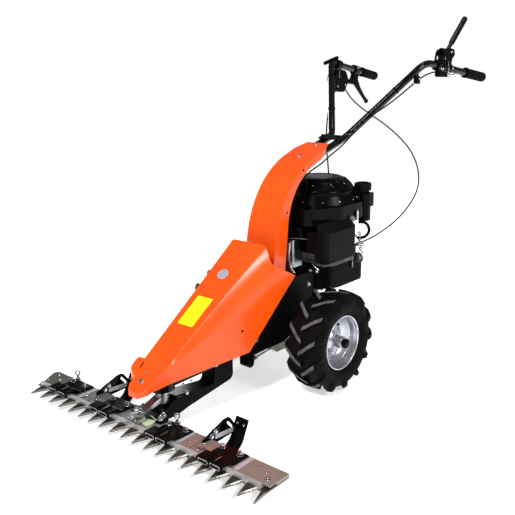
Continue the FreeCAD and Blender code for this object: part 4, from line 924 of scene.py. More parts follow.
def addFootBolts(settings):
    shape = bmesh.new()
    foot = skinOf("boom_foot")
    for i, (x, y) in enumerate(settings["foot"]):
        addBolt(shape, dropOn(foot, x, y)[0], (0, 0, 1), settings["across"], stud=0.005, turn=i * 0.5)
    low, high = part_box("crank_housing")
    centre, circle = (low + high) / 2, settings["housingCircle"]
    for turn in turnsOf(settings["housing"], 0.6):
        at = (centre.x + circle * math.cos(turn), centre.y + circle * math.sin(turn), low.z)
        addBolt(shape, at, (0, 0, -1), settings["housingAcross"], False)
    makePiece("footBolts", shape, ["chromeSteel"], "main", 0.0005)


addFootBolts(footBolts)

skids = {
    "bolts": [(-0.545, 0.0560), (-0.530, 0.0640)],
    "across": 0.0090,
    "shoeScrews": [0.25, 0.75],  # share of the shoe's width
    "stay": [(-0.532, 0.0500), (-0.462, 0.0440)],
    "screwHead": (0.0045, 0.0024),
    "stayHalf": 0.0062,
    "stayThick": 0.003,
}


def addSkidBolts(settings):
    for name in ("left", "right"):
        shape = bmesh.new()
        plateLow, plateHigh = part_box("skid_plate_" + name)
        skin = skinOf("skid_plate_" + name)
        for i, (y, z) in enumerate(settings["bolts"]):
            for face in (1, -1):
                start = ((plateLow.x + plateHigh.x) / 2 + face * 0.06, y, z)
                spot, _ = touch(skin, start, (-face, 0, 0))
                addBolt(shape, spot, (face, 0, 0), settings["across"], face > 0, turn=i * 0.6)
        low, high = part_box("skid_shoe_" + name)
        skin = skinOf("skid_shoe_" + name)
        for share in settings["shoeScrews"]:
            spot, normal = dropOn(skin, low.x + (high.x - low.x) * share, high.y - 0.010)
            addScrew(shape, spot, normal, *settings["screwHead"])
        makePiece("skidBolts" + name.capitalize(), shape, ["chromeSteel"], "main", 0.0004)

        shape = bmesh.new()  # flat stay laid against the plate's outer face
        face = plateHigh.x + 0.0002
        a, b = [Vector((0, *p)) for p in settings["stay"]]
        along = (b - a).normalized()
        up = Vector((0, -along.z, along.y)) * settings["stayHalf"]
        ring = [a + up, b + up, b - up, a - up]
        addRings(shape, [[p + Vector((x, 0, 0)) for p in ring] for x in (face, face + settings["stayThick"])])
        makePiece("skidStay" + name.capitalize(), shape, ["paleStrip"], "main", 0.0006)


addSkidBolts(skids)
print("cutter bar dressed")


# hood and column

hoodTrim = {
    "noseBolt": (0.0, -0.584),
    "noseAcross": 0.0105,
    "rivet": (-0.0094, -0.558),
    "rivetHead": (0.0042, 0.0016),
    "slot": [(-0.0398, -0.5375), (-0.0380, -0.5550)],
    "disc": (-0.0020, -0.2496),
    "discRadius": 0.0185,
    "plate": (0.0, -0.371),
    "plateSize": (0.0605, 0.1070, 0.0035),  # width, length and corner
    "plateThick": 0.0006,
    "slotShadeWire": 0.0016,
    "skirtHole": (-0.262, 0.232),
    "skirtHoleRadius": 0.0045,
    "columnBolts": [(0.0023, 0.1996), (-0.0016, 0.1178)],
    "columnAcross": 0.0085,
    "columnHoles": [(-0.0218, 0.5462), (0.060, 0.668)],
    "columnHoleRadius": 0.0040,
}


hoodFolds = {
    "sheet": 0.002,
    "stations": 48,
    "rear": -0.030,
    "neck": (-0.529, 0.050, 0.1964),  # y, half width and height of the side fold where the head begins
    "shoulder": (-0.043, 0.110, 0.358),
    "ridge": [(-0.529, 0.047), (-0.136, 0.065)],
    "top": (-0.136, 0.466, 0.681),
    "swell": 0.034,  # how far the flank's upper part is pressed outwards at the shoulder
    "ridgeRoll": 0.06,  # share of the flank that each fold rolls over
    "sideRoll": 0.06,
    "turns": 7,
    "skirt": [(-0.529, 0.146), (-0.235, 0.157), (-0.043, 0.358)],
    "notch": [(-0.043, 0.358), (-0.1202, 0.3995), (-0.1267, 0.4041), (-0.1317, 0.4105), (-0.1349, 0.4179),
              (-0.136, 0.4259), (-0.136, 0.480)],
}


def rollCorner(before, corner, after, reach, turns):
    # the points of a soft fold that leaves one flat and joins the next
    a = corner + (before - corner).normalized() * reach
    b = corner + (after - corner).normalized() * reach
    return sweepOf(a, corner, b, [k / turns for k in range(turns + 1)])


def foldedSection(settings, y):
    y0, half0, z0 = settings["neck"]
    y1, half1, z1 = settings["shoulder"]
    along = (y - y0) / (y1 - y0)
    fold = Vector((half0 + (half1 - half0) * along, y, z0 + (z1 - z0) * along))
    (ya, wa), (yb, wb) = settings["ridge"]
    level, height, slope = settings["top"]
    ridge = Vector((wa + (wb - wa) * (y - ya) / (yb - ya), y, height + slope * (y - level)))
    foot, middle = Vector((fold.x, y, 0.10)), Vector((0, y, ridge.z))
    flank = ridge - fold
    outwards = Vector((flank.z, 0, -flank.x)).normalized()
    swell = ridge - flank * 0.42 + outwards * settings["swell"] * along ** 2
    turns = settings["turns"]
    half = [foot] + rollCorner(foot, fold, swell, flank.length * settings["sideRoll"], turns)
    half += sweepOf(fold, swell, ridge, [k / 10 for k in range(1, 10)])
    half += rollCorner(swell, ridge, middle, flank.length * settings["ridgeRoll"], turns)
    return half + [middle] + [Vector((-p.x, p.y, p.z)) for p in reversed(half)]


def splitAt(shape, at, out, clear):
    whole = list(shape.verts) + list(shape.edges) + list(shape.faces)
    bmesh.ops.bisect_plane(shape, geom=whole, dist=1e-6, plane_co=at, plane_no=out, clear_outer=clear)


def splitAlong(shape, a, b, clear):
    # cuts along the line from a to b in the side view; what lies on its right is cleared
    out = Vector((0, b[1] - a[1], a[0] - b[0])).normalized()
    splitAt(shape, (0, *a), out, clear)
    return lambda p: (p - Vector((0, *a))).dot(out) > 0


def addFoldedHood(settings):
    shape = bmesh.new()
    start, count = settings["neck"][0], settings["stations"]
    rows = []
    for i in range(count + 1):
        section = foldedSection(settings, start + (settings["rear"] - start) * i / count)
        rows.append([shape.verts.new(p) for p in section])
    for row, following in zip(rows, rows[1:]):
        for j in range(len(row) - 1):
            shape.faces.new([row[j], row[j + 1], following[j + 1], following[j]])
    skirt, notch = settings["skirt"], settings["notch"]
    for a, b in zip(skirt, skirt[1:]):
        splitAlong(shape, a, b, True)
    past = [splitAlong(shape, a, b, False) for a, b in zip(notch, notch[1:])]
    spare = [f for f in shape.faces if all(beyond(f.calc_center_median()) for beyond in past)]
    bmesh.ops.delete(shape, geom=spare, context="FACES")
    bmesh.ops.recalc_face_normals(shape, faces=shape.faces)
    top = max(shape.faces, key=lambda f: f.calc_center_median().z)
    if top.normal.z < 0:
        bmesh.ops.reverse_faces(shape, faces=shape.faces)
    bmesh.ops.solidify(shape, geom=list(shape.faces), thickness=settings["sheet"])

    head = bmesh.new()  # the head in front of the folds is the CAD hood's own
    head.from_mesh(nodes["hood"].data)
    bmesh.ops.remove_doubles(head, verts=head.verts, dist=2e-6)
    splitAt(head, (0, start, 0), (0, 1, 0), True)
    bmesh.ops.holes_fill(head, edges=[e for e in head.edges if e.is_boundary], sides=0)
    copied = {v: shape.verts.new(v.co) for v in head.verts}
    for face in head.faces:
        shape.faces.new([copied[v] for v in face.verts])
    head.free()
    piece = makePiece("hoodSkin", shape, ["orangePaint"], "main", 0.0, 30)
    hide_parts("hood")


def addHoleShade(shape, spot, normal, radius):
    # a shallow black disc: painted shade standing for the dark inside of a small round hole
    profile = [(0, -0.0006), (radius, -0.0006), (radius, 0.0004), (0, 0.0004)]
    addLathe(shape, standOn(spot, normal), profile, 20)


def addHoodTrim(settings):
    skin = skinOf("hood")
    shape = bmesh.new()
    addBolt(shape, *dropOn(skin, *settings["noseBolt"], 1.0), settings["noseAcross"], turn=0.3)
    addScrew(shape, *dropOn(skin, *settings["rivet"], 1.0), *settings["rivetHead"])
    makePiece("noseBolts", shape, ["chromeSteel"], "main", 0.0004)

    shape = bmesh.new()  # blank round plate: a rolled rim and a dished face
    radius = settings["discRadius"]
    dish = [(0, -0.001), (radius, -0.001), (radius, 0.0012), (radius * 0.95, 0.0024), (radius * 0.86, 0.0024),
            (radius * 0.80, 0.0012), (radius * 0.52, 0.0010), (radius * 0.46, 0.0017), (0, 0.0019)]
    addLathe(shape, standOn(*dropOn(skin, *settings["disc"], 1.0)), dish, 40)
    makePiece("hoodDisc", shape, ["paleStrip"], "main")

    shape = bmesh.new()  # blank yellow plate
    spot, normal = dropOn(skin, *settings["plate"], 1.0)
    across = Vector((1, 0, 0))
    place = Matrix.Translation(spot) @ Matrix((across, normal.cross(across), normal)).transposed().to_4x4()
    addSlab(shape, place, roundedOutline(*settings["plateSize"]), settings["plateThick"], sink=0.0004)
    makePiece("hoodPlate", shape, ["yellowPlate"], "main", 0.0001)

    # a black line along the slot and black discs at the skirt's and column's holes: painted shade of the slot
    # and the holes
    shape = bmesh.new()
    ends = [dropOn(skin, *p, 1.0) for p in settings["slot"]]
    addPipe(shape, [spot + normal * 0.0001 for spot, normal in ends], settings["slotShadeWire"], 8)
    for side in (1, -1):
        addHoleShade(shape, *pressOn(skin, side, 0.4, *settings["skirtHole"]), settings["skirtHoleRadius"])
    skin = skinOf("column")
    for side in (1, -1):
        for y, z in settings["columnHoles"]:
            addHoleShade(shape, *pressOn(skin, side, 0.3, y, z), settings["columnHoleRadius"])
    makePiece("hoodHoleShades", shape, ["blackPaint"], "main")

    shape = bmesh.new()
    for i, (x, y) in enumerate(settings["columnBolts"]):
        addBolt(shape, *dropOn(skin, x, y, 1.2), settings["columnAcross"], turn=0.4 * i)
    makePiece("columnBolts", shape, ["zincSteel"], "main", 0.0004)


addFoldedHood(hoodFolds)
addHoodTrim(hoodTrim)
print("hood and column dressed")


# engine

engineTrim = {
    "axis": (0.0, 0.227),
    "discRadius": 0.0430,
    "louvres": 22,
    "louvreSpan": (0.082, 0.112),
    "shroudRing": 0.129,
    "shroudScrews": [-1.35, -0.85, -0.40, 0.10, 0.45, 2.2, 2.9, 3.7],
    "domeScrews": [(-1.15, 0.100), (-0.55, 0.098), (0.05, 0.098), (2.6, 0.100), (3.6, 0.098)],
    "capRibs": 30,
    "screw": 0.0030,
    "hose": [(0.140, 0.262, 0.478), (0.158, 0.262, 0.480), (0.174, 0.260, 0.474), (0.182, 0.258, 0.457),
             (0.175, 0.256, 0.440), (0.160, 0.254, 0.430), (0.142, 0.252, 0.428)],
    "hoseRadius": 0.0050,
    "louvreBend": 0.10,
    "louvreRadii": [0.0012, 0.0024, 0.0027, 0.0024, 0.0012],
    "capBar": (1.15, 0.008, 0.0035, 0.7),  # length as a share of the cap's radius, width, height, turn
    "bead": (0.006, 0.014, 0.0014),  # height over the filter's foot, corner and wire
    "shelf": [(0.094, 0.060), (0.140, 0.060), (0.160, 0.092), (0.160, 0.206), (0.094, 0.206)],
    "shelfLevel": 0.366,
    "shelfThick": 0.014,
}


def addRecoilTrim(settings):
    cx, cy = settings["axis"]
    skin = skinOf("recoil_cover", "engine_shroud")
    shape = bmesh.new()
    radius = settings["discRadius"]
    disc = [(0, -0.001), (radius, -0.001), (radius, 0.0005), (radius * 0.97, 0.0010), (radius * 0.9, 0.0008),
            (0, 0.0012)]
    addLathe(shape, Matrix.Translation((cx, cy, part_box("recoil_cover")[1].z)), disc, 48)
    makePiece("recoilDisc", shape, ["brushedDisc"], "main")

    shape = bmesh.new()
    inner, outer = settings["louvreSpan"]
    for turn in turnsOf(settings["louvres"]):
        path = []
        for k in range(5):
            reach = inner + (outer - inner) * k / 4
            bend = turn + settings["louvreBend"] * k / 4
            spot, normal = dropOn(skin, cx + reach * math.cos(bend), cy + reach * math.sin(bend), 0.8)
            path.append(spot + normal * 0.0002)
        addPipe(shape, path, settings["louvreRadii"], 8)
    makePiece("recoilLouvres", shape, ["shinyPlastic"], "main")

    shape = bmesh.new()
    places = [(t, settings["shroudRing"]) for t in settings["shroudScrews"]] + settings["domeScrews"]
    for turn, reach in places:
        seat = dropOn(skin, cx + reach * math.cos(turn), cy + reach * math.sin(turn), 0.8)
        addScrew(shape, *seat, settings["screw"], 0.0018)
    makePiece("shroudScrews", shape, ["chromeSteel"], "main", 0.0003)

    shape = bmesh.new()  # grip ribs round the fuel cap, a raised ring and a finger bar over it
    low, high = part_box("fuel_cap")
    centre = (low + high) / 2
    radius = (high.x - low.x) / 2
    for turn in turnsOf(settings["capRibs"]):
        out = Vector((math.cos(turn), math.sin(turn), 0))
        base = Vector((centre.x, centre.y, 0)) + out * (radius - 0.0004)
        addPipe(shape, [base + Vector((0, 0, z)) for z in (low.z + 0.004, high.z - 0.003)], 0.0013, 6)
    top = Matrix.Translation((centre.x, centre.y, high.z))
    ring = [(radius * 0.62, -0.0005), (radius * 0.66, 0.0016), (radius * 0.72, 0.0020),
            (radius * 0.78, 0.0014), (radius * 0.82, -0.0005)]
    addLathe(shape, top, ring, 40, closedPath=True)
    share, wide, tall, turn = settings["capBar"]
    bar = roundedOutline(radius * share, wide, 0.0035)
    addSlab(shape, top @ Matrix.Rotation(turn, 4, "Z"), bar, tall, sink=0.0005)
    makePiece("fuelCapRibs", shape, ["blackPlastic"], "main", 0.0003)


def addFilterTrim(settings):
    low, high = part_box("air_filter")
    rise, corner, wire = settings["bead"]
    shape = bmesh.new()  # rolled bead round the cover's open edge
    middle = Vector(((low.x + high.x) / 2, (low.y + high.y) / 2, low.z + rise))
    path = [middle + Vector((x, y, 0)) for x, y in roundedOutline(high.x - low.x, high.y - low.y, corner)]
    addPipe(shape, path, wire, 6, closedPath=True)
    makePiece("filterBead", shape, ["blackPlastic"], "main", 0.0006)

    shape = bmesh.new()  # cast shelf under the filter
    level = Matrix.Translation((0, 0, settings["shelfLevel"]))
    addSlab(shape, level, settings["shelf"], settings["shelfThick"])
    makePiece("castShelf", shape, ["shelfCast"], "main", 0.0025)


sideTrim = {
    "guard": [(0.4480, 0.020, 0.062), (0.4380, 0.024, 0.062), (0.4100, 0.026, 0.058), (0.3850, 0.026, 0.060),
              (0.3660, 0.026, 0.068), (0.3520, 0.026, 0.082)],  # height, left edge, right edge
    "guardFace": (-0.0105, -0.0075, -0.0060),  # the pressed front, its turned edge and its back
    "guardTurn": 0.004,
    "block": ((0.070, 0.046, 0.378), (0.116, 0.078, 0.408)),
    "fins": [0.381, 0.386, 0.391, 0.396, 0.401, 0.406],
    "fin": ((0.068, 0.043), (0.119, 0.080), 0.0020),  # two corners and the thickness
    "fixings": [  # a rod, its radius and sides, then the bolts beside it, their direction and size
        ([(0.098, 0.058, 0.379), (0.112, 0.052, 0.366), (0.128, 0.052, 0.357)], 0.0030, 10,
         [(0.104, 0.043, 0.354), (0.124, 0.050, 0.350)], (0.55, -0.8, 0.15), 0.0062),
        ([(-0.020, -0.008, 0.458), (0.020, -0.008, 0.457), (0.066, 0.030, 0.455), (0.086, 0.048, 0.452)],
         0.0015, 8, [(-0.006, -0.004, 0.434), (0.060, -0.004, 0.380)], (0, -1, 0), 0.0090)],
    "spring": ((0.148, 0.250, 0.446), (0.157, 0.250, 0.388)),
    "springWires": [  # path, radius: the two hooks and the bent lever behind them
        ([(0.144, 0.250, 0.450), (0.148, 0.250, 0.446), (0.152, 0.250, 0.452)], 0.0010, 6),
        ([(0.157, 0.250, 0.388), (0.150, 0.250, 0.380), (0.140, 0.250, 0.382)], 0.0010, 6),
        ([(0.130, 0.249, 0.440), (0.148, 0.251, 0.420), (0.168, 0.251, 0.408), (0.150, 0.251, 0.392),
          (0.166, 0.251, 0.376)], 0.0023, 8)],
    "bowl": [(0, 0), (0.0085, 0.0), (0.0098, 0.003), (0.0098, 0.016), (0.0078, 0.020), (0.0040, 0.0215),
             (0, 0.0215)],
    "bowlStand": ((0.136, 0.214, 0.499), (1.0, -0.45, 0.05)),
    "clip": [(0.147, 0.238, 0.490), (0.147, 0.239, 0.520)],
    "clipScrew": ((0.147, 0.239, 0.524), (0.6, -0.7, 0.3)),
    "filler": (0.128, 0.272, 0.350),
    "fillerRun": (0.044, 0, 0.018),
    "fillerRibs": (18, 0.0162, 0.0012),  # count, reach and radius
}


def smoothed(route, steps):
    # a soft curve through every point of the route
    rounded = []
    for i in range(len(route) - 1):
        before, after = route[max(i - 1, 0)], route[min(i + 2, len(route) - 1)]
        a, b = route[i], route[i + 1]
        for t in [k / steps for k in range(steps)]:
            one = a * (2 * t**3 - 3 * t**2 + 1) + b * (3 * t**2 - 2 * t**3)
            two = (b - before) * 0.5 * (t**3 - 2 * t**2 + t) + (after - a) * 0.5 * (t**3 - t**2)
            rounded.append(one + two)
    return rounded + [route[-1]]


def addSideTrim(settings):
    shape = bmesh.new()  # pressed guard in front of the muffler, flaring to a foot
    front, edge, back = settings["guardFace"]
    turned = settings["guardTurn"]
    rings = []
    for z, left, right in settings["guard"]:
        spots = [(left, edge), (left + turned, front), (right - turned, front), (right, edge), (right, back),
                 (left, back)]
        rings.append([Vector((x, y, z)) for x, y in spots])
    addRings(shape, rings)
    makePiece("mufflerGuard", shape, ["zincSteel"], "main", 0.0006)

    shape = bmesh.new()  # finned block beside the muffler
    addBlock(shape, *settings["block"])
    nearCorner, farCorner, thick = settings["fin"]
    for z in settings["fins"]:
        addBlock(shape, (*nearCorner, z), (*farCorner, z + thick))
    makePiece("finnedBlock", shape, ["greyCast"], "main", 0.0006)

    shape = bmesh.new()
    for path, radius, sides, places, direction, across in settings["fixings"]:
        addPipe(shape, path, radius, sides)
        for at in places:
            addBolt(shape, at, direction, across)
    makePiece("engineBolts", shape, ["chromeSteel"], "main", 0.0003)

    shape = bmesh.new()
    addSpring(shape, *settings["spring"], 0.0056, 0.0015, 8)
    for path, radius, sides in settings["springWires"]:
        addPipe(shape, path, radius, sides)
    makePiece("governorSpring", shape, ["zincSteel"], "main")

    shape = bmesh.new()  # fuel pipe from the tank to the carburettor
    addPipe(shape, smoothed([Vector(p) for p in engineTrim["hose"]], 5), engineTrim["hoseRadius"], 12)
    makePiece("fuelPipe", shape, ["gripRubber"], "main")

    shape = bmesh.new()  # pale filter bowl and bright clip beside the tank
    addLathe(shape, standOn(*settings["bowlStand"]), settings["bowl"], 20)
    addPipe(shape, settings["clip"], 0.0050, 12, paint=1)
    addScrew(shape, *settings["clipScrew"], 0.0032, 0.002, paint=1)
    makePiece("fuelBowl", shape, ["paleCast", "chromeSteel"], "main", 0.0005)

    shape = bmesh.new()  # the oil filler's bright middle and the ribs round its cap
    run = Vector(settings["fillerRun"]).normalized()
    tip = Vector(settings["filler"]) + run * 0.014
    addScrew(shape, tip, run, 0.0070, 0.0020)
    makePiece("fillerDot", shape, ["chromeSteel"], "main", 0.0003)
    shape = bmesh.new()
    count, reach, radius = settings["fillerRibs"]
    place = standOn(tip - run * 0.012, run)
    for t in turnsOf(count):
        spots = [place @ Vector((reach * math.cos(t), reach * math.sin(t), z)) for z in (0.0, 0.011)]
        addPipe(shape, spots, radius, 6)
    makePiece("fillerRibs", shape, ["greyCast"], "main", 0.0003)


addRecoilTrim(engineTrim)
addFilterTrim(engineTrim)
addSideTrim(sideTrim)
print("engine dressed")


# handles and controls

gripLook = {
    "lean": (0.1058, 0.9819, -0.1573),
    "end": (0.235, 0.922, 0.930),
    "past": 0.006,  # how far the closed end stands beyond the tube's
    "long": 0.124,
    "rings": 15,
    "ringed": 0.094,
    "core": 0.0152,
    "ridge": 0.0171,
    "flange": 0.0188,
    "collar": 0.0172,
    "bore": 0.01225,
    "floor": 0.0062,
}


def addGrip(side, name, settings):
    lean, end = [Vector((settings[key][0] * side, *settings[key][1:])) for key in ("lean", "end")]
    along = lean.normalized()
    long, core, collar = settings["long"], settings["core"], settings["collar"]
    place = standOn(end + along * settings["past"] - along * long, along)
    bore, floor = settings["bore"], long - settings["floor"]
    profile = [(0, floor), (bore, floor), (bore, 0.0), (0.0128, 0.0)]
    profile += [(settings["flange"], 0.0), (settings["flange"], 0.0030), (core, 0.0050)]
    step = settings["ringed"] / settings["rings"]
    for i in range(settings["rings"]):
        z = 0.010 + step * i
        profile += [(core, z), (settings["ridge"], z + step * 0.25), (settings["ridge"], z + step * 0.55),
                    (core, z + step * 0.8)]
    profile += [(core, long - 0.018), (collar, long - 0.014), (collar, long - 0.006), (0.0150, long - 0.0012),
                (0.0090, long), (0, long)]
    shape = bmesh.new()
    addLathe(shape, place, profile, 36)
    piece = makePiece(name + "Grip", shape, ["gripRubber"], "main")
    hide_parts("grip_" + name)


for side, name in ((1, "left"), (-1, "right")):
    addGrip(side, name, gripLook)

controls = {
    "clampScrew": 0.0085,
    "clampInset": 0.018,
    "clampDrop": 0.020,
    "rods": [  # path and radius of the bent rods on the clutch lever, and whether they close in a ring
        ([(0.2245, 0.674, 0.948), (0.2255, 0.673, 0.966), (0.2245, 0.672, 0.990)], 0.0018, False),
        ([(0.2255, 0.675 + 0.0075 * math.cos(t), 0.944 + 0.0075 * math.sin(t)) for t in turnsOf(18)],
         0.0016, True),
        ([(0.2245, 0.681, 0.944), (0.2250, 0.706, 0.944), (0.2250, 0.735, 0.950)], 0.0018, False)],
    "pivot": (0.2220, 0.686, 1.022),
    "pivotSpring": [(0.2125, 0.664, 0.990), (0.2150, 0.672, 1.022), (0.2160, 0.690, 1.048)],
    "throttleScrews": [(0.545, 0.903), (0.595, 0.905)],
    "throttleSlot": (0.551, 0.948),
    "slotSize": (0.026, 0.0052, 0.002),  # length, width and corner
    "screw": (0.0042, 0.0018),  # a round head's radius and height
    "bladeScrew": (0.752, 0.012),  # place along the lever and depth under its top
    "cableStop": (0.1825, 0.530, 0.930),
    # measured from the cable stop's place: its block, adjuster, bolt and the bare wire's sleeve
    "stopBlock": [(-0.007, -0.011, -0.012), (0.008, 0.010, 0.013)],
    "stopAdjuster": [(0, 0.004, 0.010), (-0.004, 0.008, 0.034)],
    "stopBolt": (0.008, 0.0, 0.004),
    "stopSleeve": [(-0.001, -0.024, -0.013), (0.0, -0.010, -0.007)],
    "adjusterRadius": 0.0042,
    "sleeveRadius": 0.0036,
    "tubeScrewSide": (0.75, -0.66, 0.0),
    "tubeRadius": 0.0118,
    "tubeRun": [(0.030, 0.338, 0.747), (0.196, 0.560, 0.988)],  # the left tube's straight run
    "tubeScrews": [0.10, 0.16, 0.22],  # shares of that run
    "ties": {1: (0.30, 0.62), -1: (0.35, 0.80)},  # shares of the left and of the right run
    "tie": [(0.0121, -0.0024), (0.0133, -0.0022), (0.0133, 0.0022), (0.0121, 0.0024)],
    # the brake lever's blade: y, z, half its depth
    "bladeSpine": [(0.752, 0.944, 0.0125), (0.763, 0.918, 0.0105), (0.783, 0.888, 0.0080),
                   (0.810, 0.860, 0.0062), (0.833, 0.838, 0.0052)],
    "bladeHalf": 0.0055,
    "bridgeInset": 0.008,
}


def addControls(settings):
    chrome = bmesh.new()
    low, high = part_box("clutch_bracket")
    middle = (low + high) / 2
    skin = skinOf("clutch_bracket")
    for y in (low.y + settings["clampInset"], high.y - settings["clampInset"]):
        spot, _ = touch(skin, (middle.x + 0.1, y, middle.z - settings["clampDrop"]), (-1, 0, 0))
        addBolt(chrome, spot, (1, 0, 0), settings["clampScrew"], stud=0.003)
    for path, radius, ring in settings["rods"]:
        addPipe(chrome, path, radius, 8, closedPath=ring)
    addBolt(chrome, settings["pivot"], (1, 0, 0), 0.0095, stud=0.002)
    addPipe(chrome, settings["pivotSpring"], 0.0013, 8)
    low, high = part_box("brake_lever")
    along, depth = settings["bladeScrew"]
    spot, _ = touch(skinOf("brake_lever"), (high.x + 0.1, along, high.z - depth), (-1, 0, 0))
    addScrew(chrome, spot, (1, 0, 0), 0.0042, 0.0022)
    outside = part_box("throttle_housing")[1].x + 0.1
    skin = skinOf("throttle_housing")
    for place in settings["throttleScrews"]:
        addScrew(chrome, *pressOn(skin, 1, outside, *place), *settings["screw"])
    spot, _ = pressOn(skin, 1, outside, *settings["throttleSlot"])
    place = Matrix.Translation(spot) @ Matrix.Rotation(math.radians(90), 4, "Y")
    addSlab(chrome, place, roundedOutline(*settings["slotSize"]), 0.0022, sink=0.0010)
    makePiece("controlBolts", chrome, ["chromeSteel"], "main", 0.0003)

    shape = bmesh.new()  # the brake lever's broad root, tapering along its blade
    middle = (low.x + high.x) / 2
    rings = []
    for y, z, half in settings["bladeSpine"]:
        rings.append([Vector((middle + settings["bladeHalf"] * math.cos(t), y + half * 0.8 * math.sin(t),
                              z + half * 0.45 * math.sin(t))) for t in turnsOf(12)])
    addRings(shape, rings)
    makePiece("brakeBlade", shape, ["blackPlastic"], "main")

    shape = bmesh.new()  # cable stop clamped under the left tube, its adjuster and the bare inner wire
    at = Vector(settings["cableStop"])
    addBlock(shape, *[at + Vector(p) for p in settings["stopBlock"]])
    addPipe(shape, [at + Vector(p) for p in settings["stopAdjuster"]], settings["adjusterRadius"])
    makePiece("cableStop", shape, ["blackPlastic"], "main", 0.0015)
    shape = bmesh.new()
    addBolt(shape, at + Vector(settings["stopBolt"]), (1, 0, 0), 0.0070, False)
    addPipe(shape, [at + Vector(p) for p in settings["stopSleeve"]], settings["sleeveRadius"])
    knee, bend = [Vector(p) for p in settings["tubeRun"]]
    out = Vector(settings["tubeScrewSide"])
    for share in settings["tubeScrews"]:
        addScrew(shape, knee + (bend - knee) * share + out * settings["tubeRadius"], out, 0.0032, 0.0016)
    makePiece("cableStopScrew", shape, ["chromeSteel"], "main", 0.0003)


def addTubeBands(settings):
    # black cable ties round both tubes, and the bridge's two bolts
    shape = bmesh.new()
    for side, shares in settings["ties"].items():
        knee, bend = [Vector((side * x, y, z)) for x, y, z in settings["tubeRun"]]
        for share in shares:
            place = standOn(knee + (bend - knee) * share, (bend - knee).normalized())
            addLathe(shape, place, settings["tie"], 28, closedPath=True)
    makePiece("cableTies", shape, ["blackPlastic"], "main")

    shape = bmesh.new()
    skin = skinOf("handle_bridge")
    low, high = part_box("handle_bridge")
    for x in (low.x + settings["bridgeInset"], high.x - settings["bridgeInset"]):
        addBolt(shape, *dropOn(skin, x, (low.y + high.y) / 2, 1.2), 0.0080, stud=0.002)
    makePiece("handleBolts", shape, ["blackPaint"], "main", 0.0003)


addControls(controls)
addTubeBands(controls)
print("handles dressed")


# chassis, gearbox and boom fittings

frameTrim = {
    "deckBolts": [(-0.098, 0.120), (0.098, 0.120), (-0.098, 0.330), (0.098, 0.330)],
    "sideBolts": [(-0.200, 0.185), (-0.120, 0.300), (0.060, 0.300), (0.010, 0.205)],
    "sideAcross": 0.0100,
    "deckAcross": 0.0110,
    "boomBolts": (-0.440, -0.330),
    "boomAcross": 0.0110,
    "gearRibs": [-0.066, -0.040, -0.014, 0.012, 0.038],
    "ribFace": 0.0478,
    "ribHeights": (0.110, 0.130, 0.205, 0.225),
    "ribRadius": 0.0024,
    "ribReach": 0.060,  # a rib's point is kept only where the casting is this close to the middle
    "gearPlug": -0.020,
    "plug": [(0, -0.001), (0.010, -0.001), (0.010, 0.003), (0.0085, 0.004), (0, 0.004)],
    "flangeBolts": 6,
    "flangeCircle": 0.036,
    "flangeFace": (0.060, 0.160),
    "flangeAcross": 0.0070,
    "plugAcross": 0.0090,
    "spring": ((0.055, -0.200, 0.108), (0.045, -0.120, 0.118)),
    "springEnds": ((0, -0.012, -0.001), (0, 0.022, 0.004)),
}


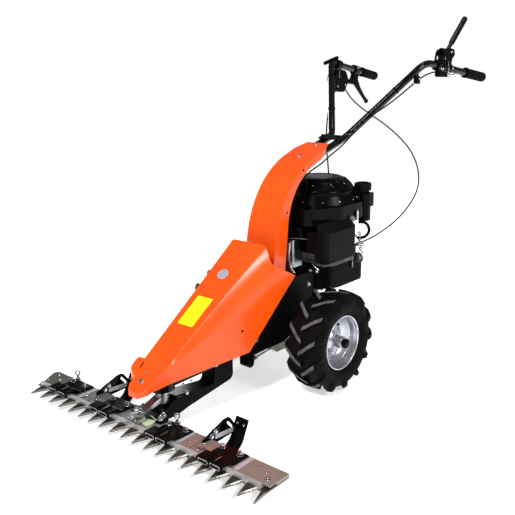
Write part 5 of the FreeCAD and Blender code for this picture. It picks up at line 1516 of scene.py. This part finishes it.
def addFrameTrim(settings):
    shape = bmesh.new()
    skin = skinOf("chassis")
    for y, z in settings["sideBolts"]:
        for side in (1, -1):
            addBolt(shape, *pressOn(skin, side, 0.3, y, z), settings["sideAcross"], turn=y * 9)
    for x, y in settings["deckBolts"]:
        spot, _ = touch(skin, (x, y, 0.200), (0, 0, 1))
        addBolt(shape, spot, (0, 0, -1), settings["deckAcross"], stud=0.004)
    skin = skinOf("boom")
    low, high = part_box("boom")
    for y in settings["boomBolts"]:
        for side in (1, -1):
            spot, _ = pressOn(skin, side, 0.2, y, (low.z + high.z) / 2)
            addBolt(shape, spot, (side, 0, 0), settings["boomAcross"], stud=0.003 if side < 0 else 0.0)
    makePiece("frameBolts", shape, ["zincSteel"], "main", 0.0004)

    shape = bmesh.new()  # cast ribs and the drain plug's boss on the gearbox
    skin = skinOf("gearbox")
    for y in settings["gearRibs"]:
        for side in (1, -1):
            felt = [(z, pressOn(skin, side, 0.249, y, z)[0]) for z in settings["ribHeights"]]
            path = [Vector((side * settings["ribFace"], y, z)) for z, spot in felt
                    if abs(spot.x) < settings["ribReach"]]
            if len(path) > 1:
                addPipe(shape, path, settings["ribRadius"], 8)
    foot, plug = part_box("gearbox")[0].z, settings["gearPlug"]
    addLathe(shape, standOn((0, plug, foot), (0, 0, -1)), settings["plug"], 24)
    makePiece("gearboxRibs", shape, ["gearCast"], "main", 0.0006)

    shape = bmesh.new()
    circle, (face, level) = settings["flangeCircle"], settings["flangeFace"]
    for side in (1, -1):
        for turn in turnsOf(settings["flangeBolts"], 0.3):
            spot = Vector((side * face, circle * math.cos(turn), level + circle * math.sin(turn)))
            addBolt(shape, spot, (side, 0, 0), settings["flangeAcross"], False)
    addBolt(shape, (0.0, plug, foot - 0.004), (0, 0, -1), settings["plugAcross"], False)
    makePiece("gearboxBolts", shape, ["zincSteel"], "main", 0.0003)

    shape = bmesh.new()  # return spring from the engaging lug
    start, end = [Vector(p) for p in settings["spring"]]
    before, after = [Vector(p) for p in settings["springEnds"]]
    addSpring(shape, start, end, 0.0055, 0.0010, 12)
    addPipe(shape, [start + before, start], 0.0011, 6)
    addPipe(shape, [end, end + after], 0.0011, 6)
    makePiece("lugSpring", shape, ["zincSteel"], "main")


clip = {
    "blocks": [((0.1180, 0.2475, 0.322), (0.1270, 0.2500, 0.400)),
               ((0.1180, 0.2475, 0.398), (0.1460, 0.2500, 0.406))],
    "stand": ((0.144, 0.246, 0.407), (0, 1, 0)),
    "sleeve": [(0.0026, 0), (0.0055, 0), (0.0055, 0.012), (0.0026, 0.012)],
}


def addClip(settings):
    # bracket that ends the throttle cable's sheath
    shape = bmesh.new()
    for low, high in settings["blocks"]:
        addBlock(shape, low, high)
    addLathe(shape, standOn(*settings["stand"]), settings["sleeve"], 16, closedPath=True)
    piece = makePiece("cableClip", shape, ["zincSteel"], "main", 0.0005)
    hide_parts("cable_clip")


addFrameTrim(frameTrim)
addClip(clip)
print("frame dressed")
